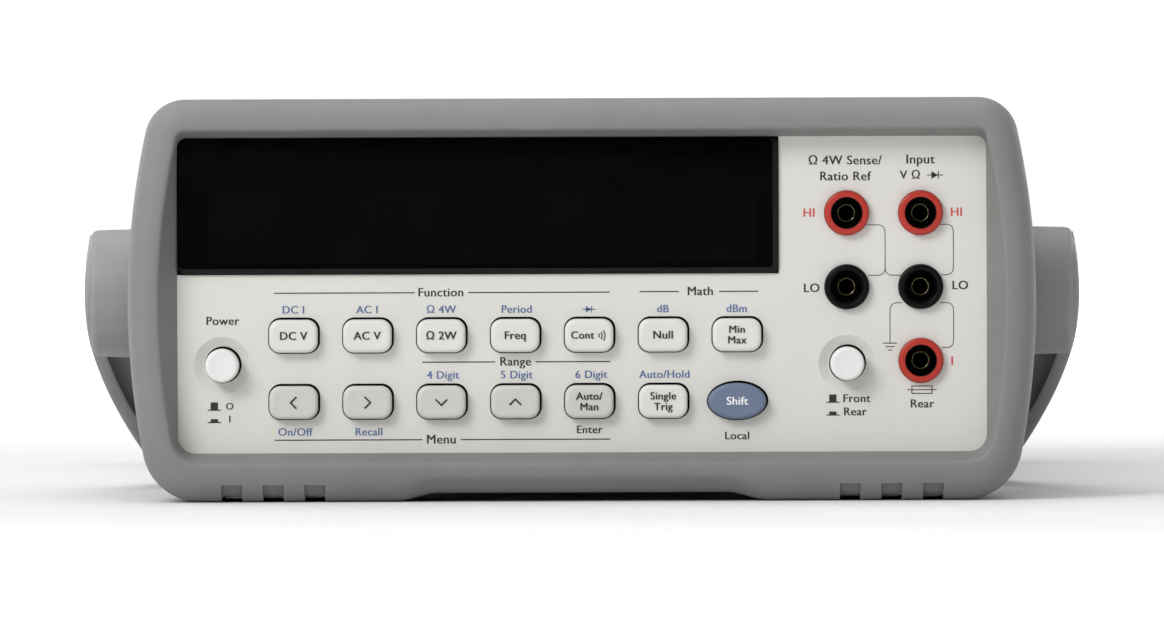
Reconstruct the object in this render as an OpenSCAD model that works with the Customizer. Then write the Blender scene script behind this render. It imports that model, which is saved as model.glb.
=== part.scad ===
// Bench multimeter: a painted steel case between two rubber bumpers, with a swinging
// carrying handle, a keypad, a dark display window, and 4 mm jacks front and rear.
// Millimetres. X runs to the right of the front panel, Y from front to rear, Z up.
// The origin is the centre of the footprint, on the bench.

/* [Overall] */
// Depth over both bumpers
overall_d = 374; // [370:1:380]
// Height over the bumpers
overall_h = 103.8; // [103.4:0.1:104.2]
// Width over the two handle hubs
overall_w = 261.1; // [260.5:0.1:262]

/* [Case] */
// Width of the steel case
case_w = 212.6; // [212:0.1:213]
// Height of the steel case
case_h = 88.5; // [88:0.1:88.8]
// Height of the case's underside over the bench
case_lift = 9; // [8.8:0.1:9.2]
// Thickness of the sheet steel
sheet_t = 1.2; // [1:0.1:1.4]

/* [Bumpers] */
// Half width of a bumper at mid height
bumper_half_w = 117.1; // [116.5:0.1:117.5]
// Length of a bumper along the case
bumper_len = 41; // [38:0.5:41]
// Width of the bumper's face, seen from the front
bumper_face = 8; // [7:0.5:8]
// Radius of the bowed side
bumper_bow_r = 205; // [190:5:240]
// Depth of the front panel behind the front bumper's face
front_recess = 8; // [7.5:0.5:9]
// Depth of the rear panel behind the rear bumper's face
rear_recess = 17.7; // [15:0.1:18]

/* [Keypad] */
// Distance between key columns
key_pitch = 19.05; // [18.5:0.05:19.1]
// Height of the upper key row
key_row_upper = 42.7; // [42:0.1:43]
// Height of the lower key row
key_row_lower = 25.6; // [25:0.1:26]
// Width of a key cap
key_w = 12.5; // [11:0.5:12.5]
// Height of a key cap
key_h = 8.5; // [7.5:0.5:8.5]
// How far a key stands proud of the panel
key_proud = 3; // [2.5:0.1:3.2]

/* [Push buttons] */
// Radius of the two round push buttons
button_r = 4.35; // [4:0.05:4.4]
// How far a button stands proud of the panel when it is out
button_proud = 5.5; // [5:0.5:6]

/* [Jacks] */
// Distance between neighbouring 4 mm jacks
jack_pitch = 19.05; // [19:0.05:19.1]
// Radius of a jack's contact bore
jack_bore_r = 2; // [2:0.05:2.1]

/* [Handle] */
// Distance from the front bumper's face back to the handle's pivots
pivot_back = 61; // [61:0.5:62]
// Radius of the pivot posts
pivot_r = 8; // [7:0.5:9]
// Width of the grip
grip_w = 24; // [22:1:27]
// Thickness of the grip
grip_t = 7; // [6:0.5:7]
// Thickness of the arms
arm_t = 2.8; // [2.4:0.1:2.8]

/* [Hidden] */
$fn = 48;
e = 0.01;
gap = 0.1;

front_y = -overall_d / 2;
rear_y = overall_d / 2;
panel_y = front_y + front_recess;
back_y = rear_y - rear_recess;
case_z0 = case_lift;
case_z1 = case_lift + case_h;
case_zm = (case_z0 + case_z1) / 2;
panel_t = 3;
frame_len = 19;
rear_frame_len = 9.3;
tongue_len = 10;
rim_t = 2;
cover_y0 = panel_y + frame_len;
cover_y1 = back_y - rear_frame_len;
case_corner_r = 4;

// Bumper outline
bumper_zm = 51.5;
bumper_arch = 2.6;
bumper_top_r = 10.5;
bumper_bottom_r = 12;
edge_round = 7;
edge_inset = 6.5;
opening_half_w = 104.35;
opening_z0 = 12.4;
opening_z1 = 93.7;
slot_x = [68.9, 79.6, 90.3];
slot_w = 5.2;
foot_x0 = 47.5;
foot_x1 = 101.5;

// Front panel layout
key_x0 = -74.4;
window_x1 = 50.7;
window_z0 = 58.6;
power_x = -92.8;
input_x = 68.3;
button_z = 35.2;
jack_x0 = 68.3;
jack_z0 = 74;
shift_w = 15;
shift_h = 9.4;
key_corner_r = 2.8;
key_hole_gap = 0.3;
key_flange = 1;
plunger_r = 2.5;
dome_r = 3.4;
button_gap = 0.3;
dish_r = 7.4;
dish_throat_r = 5;
dish_depth = 1.4;
window_proud = 1.2;
window_corner_r = 2.7;
window_seat = 1.9;

// The vacuum display behind the window, and the pocket cut for it
tube_x0 = -92;
tube_x1 = 40;
tube_z0 = 65;
tube_z1 = 90;
tube_gap = 0.6;
pocket_margin = 1;

// Bosses that the front board is screwed to
boss_x = [-97.2, 53.4];
boss_z = [18, 89];
boss_r = 2.2;

// Jacks, with depths counted inwards from the panel's face
jack_r = 5.75;
jack_hole_r = 5.85;
jack_proud = 2;
jack_len = 28;
collar_bore_r = 4.4;
collar_fit = 0.05;
collar_end_gap = 0.2;
nose_proud = 1.7;
collar_len = 7;
shroud_r = 3.7;
shroud_depth = 24;
contact_r = 2.35;
contact_s0 = 5;
contact_s1 = 27;
contact_floor = 25;
contact_fit = 0.05;
tail_r = 1;
tail_end = 32;

// The plate that carries the front jacks, flush in the front panel
plate_x0 = jack_x0 - jack_pitch / 2;
plate_x1 = jack_x0 + 1.5 * jack_pitch;
plate_z0 = jack_z0 - 2.5 * jack_pitch;
plate_z1 = jack_z0 + jack_pitch / 2;

// Layers behind the front panel, as distances behind the panel's face
flange_s = panel_t + 0.3;
plunger_s = 4.4;
plunger_end_s = 7.4;
dome_s = 8.8;
mat_s = 10;
board_s = 11;
board_t = 1.6;

// Clearance between parts that are stacked on one another
stack_gap = 0.02;
// Depth by which two shapes of one solid run into each other
weld = 0.1;
front_board_x = [-100, 56];
front_board_z = [15, 92];
rod_hole_gap = 1.4;
mat_x = [-84, 50];
mat_z = [18.5, 50.5];

// Inside the case
deck_z = 10.6;
chassis_half_w = 103.5;
chassis_half_d = 147;
board_z = 20;
board_top = board_z + board_t;
deck_edge_z = 40;
under_screw_y = 30;
shield_at = [[14, -54], [98, 60]];
shield_top = 52;
shield_t = 1;
capacitor_r = 9;
capacitor_h = 32;
fin_count = 8;
fin_pitch = 6;
core_half = [22, 17];
core_h = 48;
ribbon_run = 21;
ribbon_t = 0.9;
ribbon_bend_r = 6;
ribbon_z = 33;

// Rear panel layout
inlet_x = -74;
inlet_z = 39.5;
socket_x = -83.8;
drawer_x = -59;
fuse_x = jack_x0;
fuse_z = jack_z0 - 2 * jack_pitch;
bus_x = 2;
bus_z = 76;
serial_x = 2;
serial_z = 52;
bnc_x = [14, 38];
bnc_z = 28;
bus_flange = [62, 15];
bus_shell = [38, 11];
bus_slot = [35, 8];
bus_blade = [31, 3.2];
bus_body = [39.6, 9.6];
bus_screw_pitch = 47.9;
serial_flange = [31, 12.5];
serial_shell = [17, 8.4];
serial_mouth = [15.6, 7];
serial_body = [17.6, 7.8];
serial_screw_pitch = 24.99;
serial_pin_pitch = 2.77;
serial_pins = 9;
serial_upper_pins = 5;
serial_row_z = 1.42;
serial_pin_r = 0.5;
serial_pin_end = 5.6;
serial_flange_t = 1;
serial_flange_r = 1.5;
serial_shell_end = 6;
serial_shell_r = 2.6;
serial_depth = 9;
serial_floor = 1.2;
serial_mouth_r = 2;
bus_flange_t = 1.5;
bus_flange_r = 2;
bus_shell_end = 8;
bus_shell_r = 4;
bus_depth = 10;
bus_floor = 3;
bus_slot_r = 2.8;
bus_blade_r = 1;
captive_x = 99.5;
captive_z = 70;
ground_x = -36;
ground_z = 26;
inlet_w = 50;
inlet_h = 31;
inlet_flange = [54, 35];
inlet_flange_t = 2;
socket_hole = [25.4, 17.4];
socket_depth = 14;
pin_at = [[-7, -2], [7, -2], [0, 2.4]];
pin_size = [2, 4];
pin_end_gap = 0.6;
inlet_gap = 0.2;
inlet_depth = 31;
drawer_w = 14;
drawer_h = 24;
socket_corner_r = 2;
bay_gap = 0.3;
bay_depth = 24;
drawer_depth = 22;
drawer_face = [15.6, 26];
drawer_face_r = 1.5;
drawer_face_y = [2.3, 4.4];
drawer_hollow = [8, 21];
drawer_hollow_front = 8;
nick_top = 10.5;
nick_y = 3;
fuse_r = 2.6;
fuse_len = 20;
fuse_gap = 0.3;
line_fuse_depth = 13;
input_fuse_depth = 8;
holder_r = 7;
holder_depth = 36;
holder_bore_r = 5.5;
holder_bore_depth = 33;
holder_flange_r = 8.6;
holder_flange_t = 1.5;
cap_fit = 0.05;
cap_depth = 30;
cap_head_r = 7.4;
cap_head_y = [1.8, 6];
cap_bore_front = 6;
cap_slot = [10, 1.4];
cap_slot_y = 4.6;
rear_cut_past = 3;
bnc_depth = 18;
bnc_flange_r = 7.2;
bnc_flange_t = 2;
bnc_shell_r = 4.8;
bnc_len = 12;
bnc_bore_r = 4.05;
bnc_floor = 2.5;
bnc_lug_y = 8.5;
bnc_lug_reach = 5.9;
bnc_core_r = 2.6;
bnc_core_len = 10.5;
bnc_pin_hole_r = 0.8;
bnc_pin_hole_floor = 4;
bnc_r = 6;
screw_r = 2;
screw_hole_r = 1.2;

// Threaded posts: radius over the corners, length and bore radius
bus_post = [3.4, 6, 1.5];
serial_post = [2.7, 5, 1.1];
post_shank = 4;
post_shank_fit = 0.05;
post_bore_floor = 1;

// Screws that show on the outside
ground_head_r = 3.8;
ground_head_t = 2.6;
ground_depth = 12;
ground_slot = [10, 1];
ground_slot_floor = 1.6;
captive_head_r = 3.2;
captive_head_t = 2;
captive_depth = 26;
under_head_r = 3;
under_head_t = 1.4;
under_screw_r = 1.5;
under_screw_len = 5.2;

// Handle
hub_x = overall_w / 2;
pivot_y = front_y + pivot_back;
pivot_z = case_zm;
hub_r = 17.1;
hub_r_out = 15.9;
bow_r = 82.7;
bow_cx = hub_x - bow_r;
grip_z0 = 1;
grip_front = 84;
corner_r = 11;
inner_corner_r = 9;
hub_gap = 1.1;
post_len = 15;
collar_r = 15;
collar_t = 0.8;

// Name, column and row (0 upper, 1 lower) of each key
KEYS = [
    ["key_dc_volts", 0, 0], ["key_ac_volts", 1, 0], ["key_ohms", 2, 0],
    ["key_frequency", 3, 0], ["key_continuity", 4, 0], ["key_null", 5, 0],
    ["key_min_max", 6, 0], ["key_left", 0, 1], ["key_right", 1, 1],
    ["key_down", 2, 1], ["key_up", 3, 1], ["key_range", 4, 1],
    ["key_trigger", 5, 1], ["key_shift", 6, 1]
];
// Column, row and colour of each jack: column 0 is the inner one, row 0 the top one
JACKS = [[0, 0, "red"], [1, 0, "red"], [0, 1, "black"], [1, 1, "black"], [1, 2, "red"]];

// ---------- helpers ----------

// Extrudes an X-Z outline along Y, from y0 to y1
module along_y(y0, y1) {
    translate([0, y1, 0]) rotate([90, 0, 0]) linear_extrude(y1 - y0) children();
}

// Extrudes a Y-Z outline along X, from x0 to x1
module along_x(x0, x1) {
    translate([x0, 0, 0]) rotate([90, 0, 90]) linear_extrude(x1 - x0) children();
}

// A cylinder along Y at x, z
module rod_y(x, z, r, y0, y1) {
    translate([x, y0, z]) rotate([-90, 0, 0]) cylinder(r = r, h = y1 - y0);
}

// A cylinder along X at y, z
module rod_x(y, z, r, x0, x1) {
    translate([x0, y, z]) rotate([0, 90, 0]) cylinder(r = r, h = x1 - x0);
}

// A box given by its two corners
module box(a, b) {
    translate(a) cube(b - a);
}

// A rectangle with round corners, centred
module rounded(w, h, r) {
    square([w - 2 * r, h], center = true);
    square([w, h - 2 * r], center = true);
    for (sx = [-1, 1], sz = [-1, 1])
        translate([sx * (w / 2 - r), sz * (h / 2 - r)]) circle(r = r);
}

// The case's section, smaller by inset on every side
module case_section(inset) {
    translate([0, case_zm])
        rounded(case_w - 2 * inset, case_h - 2 * inset, max(case_corner_r - inset, 1));
}

function key_pos(i) = [
    key_x0 + KEYS[i][1] * key_pitch,
    KEYS[i][2] == 0 ? key_row_upper : key_row_lower
];
function jack_pos(i) = [jack_x0 + JACKS[i][0] * jack_pitch, jack_z0 - JACKS[i][1] * jack_pitch];
function arc(cx, cz, r, a0, a1, n) =
    [for (k = [0:n]) let (a = a0 + (a1 - a0) * k / n) [cx + r * cos(a), cz + r * sin(a)]];
function mirrored(pts) = [for (k = [len(pts) - 1:-1:0]) [-pts[k][0], pts[k][1]]];

// Puts children at a jack's place on the panel
module at_jack(i) {
    translate([jack_pos(i)[0], 0, jack_pos(i)[1]]) children();
}

// Puts children on the front panel's face
module on_front() {
    translate([0, panel_y, 0]) children();
}

// The rear set faces +Y and stands behind the front set, so only Y is reversed
module on_rear() {
    translate([0, back_y, 0]) mirror([0, 1, 0]) children();
}

// ---------- bumpers ----------

// Outline with bowed sides: half width hw, from z0 to z1, side radius rs, corner radii rb and rt
function bowed(hw, z0, z1, rs, rb, rt, n = 7) =
    let (cx = hw - rs,
         at = asin((z1 - rt - bumper_zm) / (rs - rt)),
         ab = asin((z0 + rb - bumper_zm) / (rs - rb)),
         kt = [cx + (rs - rt) * cos(at), z1 - rt],
         kb = [cx + (rs - rb) * cos(ab), z0 + rb],
         right = concat(arc(kb[0], kb[1], rb, -90, ab, n),
                        [for (k = [1:n - 1]) let (a = ab + (at - ab) * k / n)
                            [cx + rs * cos(a), bumper_zm + rs * sin(a)]],
                        arc(kt[0], kt[1], rt, at, 90, n)))
    concat(right, mirrored(right));

// The bumper's outer outline, smaller by d; the bottom rim is a little deeper than the others
function outer_outline(d) = bowed(
    bumper_half_w - d, bumper_arch + d * 0.93, overall_h - d, bumper_bow_r - d,
    bumper_bottom_r - d, bumper_top_r - d);
function opening_outline() = bowed(opening_half_w, opening_z0, opening_z1, 9000, 4.5, 2.6);
function pocket_outline() = bowed(
    case_w / 2 + gap, case_z0 - gap, case_z1 + gap, 9000,
    case_corner_r + gap, case_corner_r + gap);

// A closed ring swept through [outline, y] pairs
module swept_ring(sections) {
    rings = len(sections);
    n = len(sections[0][0]);
    pts = [for (s = sections) for (p = s[0]) [p[0], s[1], p[1]]];
    faces = [for (i = [0:rings - 1], j = [0:n - 1])
        let (a = i * n + j, b = i * n + (j + 1) % n,
             c = ((i + 1) % rings) * n + (j + 1) % n, d = ((i + 1) % rings) * n + j)
        each [[a, c, b], [a, d, c]]];
    polyhedron(points = pts, faces = faces);
}

// A bumper that faces -Y, with its face at y = 0 and a panel recess behind it
module bumper(recess) {
    swept_ring([
        [outer_outline(0), bumper_len],
        for (a = [0:22.5:90])
            [outer_outline(edge_inset * (1 - cos(a))), edge_round * (1 - sin(a))],
        [outer_outline(bumper_face), 0.6],
        [opening_outline(), recess],
        [pocket_outline(), recess],
        [pocket_outline(), bumper_len]
    ]);
    for (s = [-1, 1]) foot(s);
}

// One ribbed foot under a bumper, to the left (side -1) or right (side 1)
module foot(side) {
    edges = [foot_x0, each [for (x = slot_x) each [x - slot_w / 2, x + slot_w / 2]], foot_x1];
    for (k = [0:2:len(edges) - 2])
        let (a = side * edges[k], b = side * edges[k + 1])
            box([min(a, b), edge_round, 0], [max(a, b), bumper_len - 1, bumper_arch + 2]);
}

module front_bumper() {
    color("#8f918f") translate([0, front_y, 0]) bumper(front_recess);
}

module rear_bumper() {
    color("#8f918f") mirror([0, 1, 0]) translate([0, front_y, 0]) bumper(rear_recess);
}

// ---------- case ----------

vent_pitch = 6.4;
vent_w = 2.6;
vent_h = 20;
vent_count = 12;
vent_y0 = 52;
vent_row_lift = 16;
under_vent_x0 = -70;
under_vent_x1 = -30;

// A row of upright slots through both side walls, centred on height z
module side_vents(z) {
    for (k = [0:vent_count - 1]) translate([0, vent_y0 + k * vent_pitch, z]) {
        box([-case_w, -vent_w / 2, -vent_h / 2 + vent_w / 2],
            [case_w, vent_w / 2, vent_h / 2 - vent_w / 2]);
        for (s = [-1, 1])
            rod_x(0, s * (vent_h - vent_w) / 2, vent_w / 2, -case_w, case_w);
    }
}

module cover() {
    color("#c9c8c0") difference() {
        along_y(cover_y0, cover_y1) case_section(0);
        along_y(cover_y0 - 1, cover_y1 + 1) case_section(sheet_t);
        for (s = [-1, 1]) side_vents(case_zm + s * vent_row_lift);
        for (k = [0:vent_count - 1]) let (y = vent_y0 + k * vent_pitch)
            box([under_vent_x0, y - vent_w / 2, case_z0 - 1],
                [under_vent_x1, y + vent_w / 2, case_z0 + sheet_t + 1]);
        translate([0, under_screw_y, case_z0 - 1]) cylinder(r = 1.7, h = 4);
    }
}

// The moulded frame that carries a panel: plate, rim and the tongue inside the cover
module panel_frame(len) {
    along_y(0, panel_t) case_section(0);
    difference() {
        along_y(panel_t - e, len) case_section(0);
        along_y(panel_t - 1, len + 1) case_section(rim_t);
    }
    difference() {
        along_y(len - 3, len + tongue_len) case_section(sheet_t + 0.2);
        along_y(len - 4, len + tongue_len + 1) case_section(sheet_t + rim_t);
    }
}

// Outline of a key, grown by g: the shift key is an oval, the others are rounded
module key_outline(i, g) {
    if (KEYS[i][0] == "key_shift")
        polygon([for (a = [0:7.5:352.5])
            [(shift_w / 2 + g) * cos(a), (shift_h / 2 + g) * sin(a)]]);
    else
        rounded(key_w + 2 * g, key_h + 2 * g, key_corner_r + g);
}

module front_panel() {
    color("#d6d5d0") {
        front_plate();
        for (x = boss_x, z = boss_z)
            rod_y(x, z, boss_r, panel_y + panel_t - e, panel_y + board_s - stack_gap);
    }
}

// The panel with its holes: window, display pocket, keys, power button and jack plate
module front_plate() {
    difference() {
        translate([0, panel_y, 0]) panel_frame(frame_len);
        box([-case_w / 2 + 1, panel_y - 1, window_z0 - gap],
            [window_x1 + gap, panel_y + 2, case_z1 - 2]);
        box([tube_x0 - pocket_margin, panel_y, tube_z0 - pocket_margin],
            [tube_x1 + pocket_margin, panel_y + panel_t + 1, tube_z1 + pocket_margin]);
        for (i = [0:len(KEYS) - 1])
            translate([key_pos(i)[0], 0, key_pos(i)[1]])
                along_y(panel_y - 1, panel_y + panel_t + 1) key_outline(i, key_hole_gap);
        button_hole(power_x);
        box([plate_x0, panel_y - 1, plate_z0], [plate_x1, panel_y + panel_t + 1, plate_z1]);
    }
}

// A push button's hole, with a shallow dish around it
module button_hole(x) {
    rod_y(x, button_z, button_r + button_gap, panel_y - 1, panel_y + panel_t + 1);
    translate([x, panel_y - e, button_z]) rotate([-90, 0, 0])
        cylinder(r1 = dish_r, r2 = dish_throat_r, h = dish_depth);
}

module jack_plate() {
    color("#d6d5d0") difference() {
        box([plate_x0, panel_y, plate_z0], [plate_x1, panel_y + panel_t, plate_z1]);
        button_hole(input_x);
        for (i = [0:len(JACKS) - 1])
            at_jack(i) rod_y(0, 0, jack_hole_r, panel_y - 1, panel_y + panel_t + 1);
    }
}

module display_window() {
    w = opening_half_w - 0.35 + window_x1;
    h = opening_z1 - 0.3 - window_z0;
    color("#101214") {
        box([-case_w / 2 + 1.1, panel_y, window_z0], [window_x1, panel_y + window_seat, case_z1 - 2.1]);
        translate([window_x1 - w / 2, 0, window_z0 + h / 2])
            along_y(panel_y - window_proud, panel_y + e) rounded(w, h, window_corner_r);
    }
}

module display_tube() {
    color("#20302c")
        box([tube_x0, panel_y + panel_t + tube_gap, tube_z0], [tube_x1, panel_y + board_s - gap, tube_z1]);
}

module front_board() {
    color("#2f6b45") difference() {
        box([front_board_x[0], panel_y + board_s, front_board_z[0]],
            [front_board_x[1], panel_y + board_s + board_t, front_board_z[1]]);
        rod_y(power_x, button_z, rod_r + rod_hole_gap, panel_y, panel_y + board_s + board_t + 1);
    }
}

module key_mat() {
    color("#4a4d50") {
        box([mat_x[0], panel_y + mat_s, mat_z[0]], [mat_x[1], panel_y + board_s - stack_gap, mat_z[1]]);
        for (i = [0:len(KEYS) - 1])
            rod_y(key_pos(i)[0], key_pos(i)[1], dome_r, panel_y + dome_s, panel_y + mat_s + e);
    }
}

// A key's colour: the shift key is blue, the five range keys are grey and the rest are pale
function key_shade(i) =
    KEYS[i][0] == "key_shift" ? "#7787a8" : KEYS[i][2] == 1 && KEYS[i][1] < 5 ? "#bdbbb6" : "#dedcd7";

// A key with its flange behind the panel and the plunger that reaches the mat's dome
module key(i) {
    color(key_shade(i)) translate([key_pos(i)[0], panel_y, key_pos(i)[1]]) {
        along_y(-key_proud, flange_s + e) key_outline(i, 0);
        along_y(flange_s, plunger_s) key_outline(i, key_flange);
        rod_y(0, 0, plunger_r, plunger_s - e, plunger_end_s);
    }
}

// ---------- push buttons ----------

button_len = button_proud + 6;
power_switch_y = 46;
power_switch_len = 22;
input_switch_y = -118;
input_switch_len = 52;
switch_half_w = 6.5;
switch_bore = 14;
rod_r = 2;
rod_reach = 2;

module push_button(x) {
    color("#f0f0ee")
        rod_y(x, button_z, button_r, panel_y - button_proud, panel_y - button_proud + button_len);
}

// The rod behind a button; it reaches a little way into the switch that starts at switch_y
module push_rod(x, switch_y) {
    color("#e6e6e2")
        rod_y(x, button_z, rod_r, panel_y - button_proud + button_len, switch_y + rod_reach);
}

// A switch body with a bore that the rod runs in
module push_switch(x, y, len) {
    color("#2b2d30") difference() {
        box([x - switch_half_w, y, board_top + stack_gap], [x + switch_half_w, y + len, button_z + 7]);
        rod_y(x, button_z, rod_r + 0.05, y - 1, y + switch_bore);
    }
}

// ---------- jacks ----------

// One jack's insulating body; one that isn't plain leaves room for a coloured collar
module jack_body(plain) {
    difference() {
        union() {
            rod_y(0, 0, plain ? jack_r : collar_bore_r - collar_fit,
                  plain ? -jack_proud : -nose_proud, collar_len + collar_end_gap);
            rod_y(0, 0, jack_r, collar_len + collar_end_gap - weld, jack_len);
        }
        rod_y(0, 0, shroud_r, -jack_proud - 1, shroud_depth);
        rod_y(0, 0, contact_r + contact_fit, shroud_depth - 1, jack_len + 1);
    }
}

module jack_bodies() {
    color("#1c1d1f") for (i = [0:len(JACKS) - 1]) at_jack(i) jack_body(JACKS[i][2] == "black");
}

module jack_collars() {
    color("#c8402c") for (i = [0:len(JACKS) - 1]) if (JACKS[i][2] == "red") at_jack(i) difference() {
        rod_y(0, 0, jack_r, -jack_proud, collar_len);
        rod_y(0, 0, collar_bore_r, -jack_proud - 1, collar_len + 1);
    }
}

module jack_contacts() {
    color("#b9a36a") for (i = [0:len(JACKS) - 1]) at_jack(i) {
        difference() {
            rod_y(0, 0, contact_r, contact_s0, contact_s1);
            rod_y(0, 0, jack_bore_r, contact_s0 - 1, contact_floor);
        }
        rod_y(0, 0, tail_r, contact_s1 - e, tail_end);
    }
}

// ---------- rear panel ----------

// A round hole right through the rear panel
module rear_hole(x, z, r) {
    rod_y(x, z, r, back_y - rear_frame_len, back_y + 1);
}

// A rectangular hole right through the rear panel, centred on x, z
module rear_cut(x, z, w, h) {
    box([x - w / 2, back_y - rear_frame_len, z - h / 2], [x + w / 2, back_y + 1, z + h / 2]);
}

module rear_panel() {
    color("#cfcec8") difference() {
        on_rear() panel_frame(rear_frame_len);
        rear_cut(inlet_x, inlet_z, inlet_w + 2 * inlet_gap, inlet_h + 2 * inlet_gap);
        rear_cut(bus_x, bus_z, bus_body[0] + 4 * gap, bus_body[1] + 4 * gap);
        rear_cut(serial_x, serial_z, serial_body[0] + 4 * gap, serial_body[1] + 2 * gap);
        for (i = [0:len(JACKS) - 1]) rear_hole(jack_pos(i)[0], jack_pos(i)[1], jack_hole_r);
        rear_hole(fuse_x, fuse_z, holder_r + gap);
        for (x = bnc_x) rear_hole(x, bnc_z, bnc_r + gap);
        for (s = [-1, 1]) {
            rear_hole(s * captive_x, captive_z, screw_r + gap);
            rear_hole(bus_x + s * bus_screw_pitch / 2, bus_z, screw_hole_r);
            rear_hole(serial_x + s * serial_screw_pitch / 2, serial_z, screw_hole_r);
        }
        rear_hole(ground_x, ground_z, screw_r + gap);
    }
}

module mains_inlet() {
    color("#1f2022") difference() {
        union() {
            box([inlet_x - inlet_w / 2, back_y - inlet_depth, inlet_z - inlet_h / 2],
                [inlet_x + inlet_w / 2, back_y + e, inlet_z + inlet_h / 2]);
            translate([inlet_x, 0, inlet_z])
                along_y(back_y, back_y + inlet_flange_t)
                rounded(inlet_flange[0], inlet_flange[1], socket_corner_r);
        }
        translate([socket_x, 0, inlet_z])
            along_y(back_y - socket_depth, back_y + rear_cut_past)
            rounded(socket_hole[0], socket_hole[1], socket_corner_r);
        box([drawer_x - drawer_w / 2 - bay_gap, back_y - bay_depth, inlet_z - drawer_h / 2 - bay_gap],
            [drawer_x + drawer_w / 2 + bay_gap, back_y + rear_cut_past, inlet_z + drawer_h / 2 + bay_gap]);
    }
}

module mains_pins() {
    color("#d5d2c8") for (p = pin_at)
        translate([socket_x + p[0], back_y - socket_depth, inlet_z + p[1]])
            box([-pin_size[0] / 2, 0, -pin_size[1] / 2],
                [pin_size[0] / 2, socket_depth - pin_end_gap, pin_size[1] / 2]);
}

module line_fuse_drawer() {
    color("#26272a") difference() {
        union() {
            box([drawer_x - drawer_w / 2, back_y - drawer_depth, inlet_z - drawer_h / 2],
                [drawer_x + drawer_w / 2, back_y + drawer_face_y[0] + 0.1, inlet_z + drawer_h / 2]);
            translate([drawer_x, 0, inlet_z])
                along_y(back_y + drawer_face_y[0], back_y + drawer_face_y[1])
                rounded(drawer_face[0], drawer_face[1], drawer_face_r);
        }
        // the fuse's hollow, open at the inner end
        box([drawer_x - drawer_hollow[0] / 2, back_y - drawer_depth - 1, inlet_z - drawer_hollow[1] / 2],
            [drawer_x + drawer_hollow[0] / 2, back_y - drawer_hollow_front, inlet_z + drawer_hollow[1] / 2]);
        // the fingernail's nick at the lower edge
        box([drawer_x - drawer_hollow[0] / 2, back_y + nick_y, inlet_z - drawer_face[1] / 2 - 1],
            [drawer_x + drawer_hollow[0] / 2, back_y + drawer_face_y[1] + 0.6, inlet_z - nick_top]);
    }
}

module line_fuse() {
    color("#cfd6d8") translate([drawer_x, back_y - line_fuse_depth, inlet_z - fuse_len / 2])
        cylinder(r = fuse_r, h = fuse_len);
}

module input_fuse_holder() {
    color("#1f2022") difference() {
        union() {
            rod_y(fuse_x, fuse_z, holder_r, back_y - holder_depth, back_y + e);
            rod_y(fuse_x, fuse_z, holder_flange_r, back_y, back_y + holder_flange_t);
        }
        rod_y(fuse_x, fuse_z, holder_bore_r, back_y - holder_bore_depth, back_y + rear_cut_past);
    }
}

module input_fuse_cap() {
    color("#2a2b2e") difference() {
        union() {
            rod_y(fuse_x, fuse_z, holder_bore_r - cap_fit, back_y - cap_depth, back_y + cap_head_y[0] + 0.1);
            rod_y(fuse_x, fuse_z, cap_head_r, back_y + cap_head_y[0], back_y + cap_head_y[1]);
        }
        rod_y(fuse_x, fuse_z, fuse_r + fuse_gap, back_y - cap_depth - 1, back_y - cap_bore_front);
        // the screwdriver's slot across the head
        box([fuse_x - cap_slot[0] / 2, back_y + cap_slot_y, fuse_z - cap_slot[1] / 2],
            [fuse_x + cap_slot[0] / 2, back_y + cap_head_y[1] + 1, fuse_z + cap_slot[1] / 2]);
    }
}

module input_fuse() {
    color("#cfd6d8") rod_y(fuse_x, fuse_z, fuse_r, back_y - input_fuse_depth - fuse_len,
                           back_y - input_fuse_depth);
}

// Panel sockets with a bayonet shell, each with its insulator as a solid of its own
module bnc_connectors() {
    for (x = bnc_x) {
        color("#c9c9c6") difference() {
            union() {
                rod_y(x, bnc_z, bnc_r, back_y - bnc_depth, back_y + e);
                rod_y(x, bnc_z, bnc_flange_r, back_y, back_y + bnc_flange_t);
                rod_y(x, bnc_z, bnc_shell_r, back_y + bnc_flange_t - 0.1, back_y + bnc_len);
                translate([x, back_y + bnc_lug_y, bnc_z - bnc_lug_reach])
                    cylinder(r = 1, h = 2 * bnc_lug_reach);
            }
            rod_y(x, bnc_z, bnc_bore_r, back_y + bnc_floor, back_y + bnc_len + 1);
        }
        color("#efece2") difference() {
            rod_y(x, bnc_z, bnc_core_r, back_y + bnc_floor + 0.02, back_y + bnc_core_len);
            rod_y(x, bnc_z, bnc_pin_hole_r, back_y + bnc_pin_hole_floor, back_y + bnc_core_len + 0.5);
        }
    }
}

module bus_connector() {
    color("#c4c6c6") translate([bus_x, back_y, bus_z]) difference() {
        union() {
            along_y(0, bus_flange_t) rounded(bus_flange[0], bus_flange[1], bus_flange_r);
            along_y(bus_flange_t - weld, bus_shell_end) rounded(bus_shell[0], bus_shell[1], bus_shell_r);
            along_y(-bus_depth, e) square(bus_body, center = true);
        }
        along_y(bus_floor, bus_shell_end + 1) difference() {
            rounded(bus_slot[0], bus_slot[1], bus_slot_r);
            rounded(bus_blade[0], bus_blade[1], bus_blade_r);
        }
        for (s = [-1, 1]) rod_y(s * bus_screw_pitch / 2, 0, screw_hole_r, -1, bus_flange_t + 1);
    }
}

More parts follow.
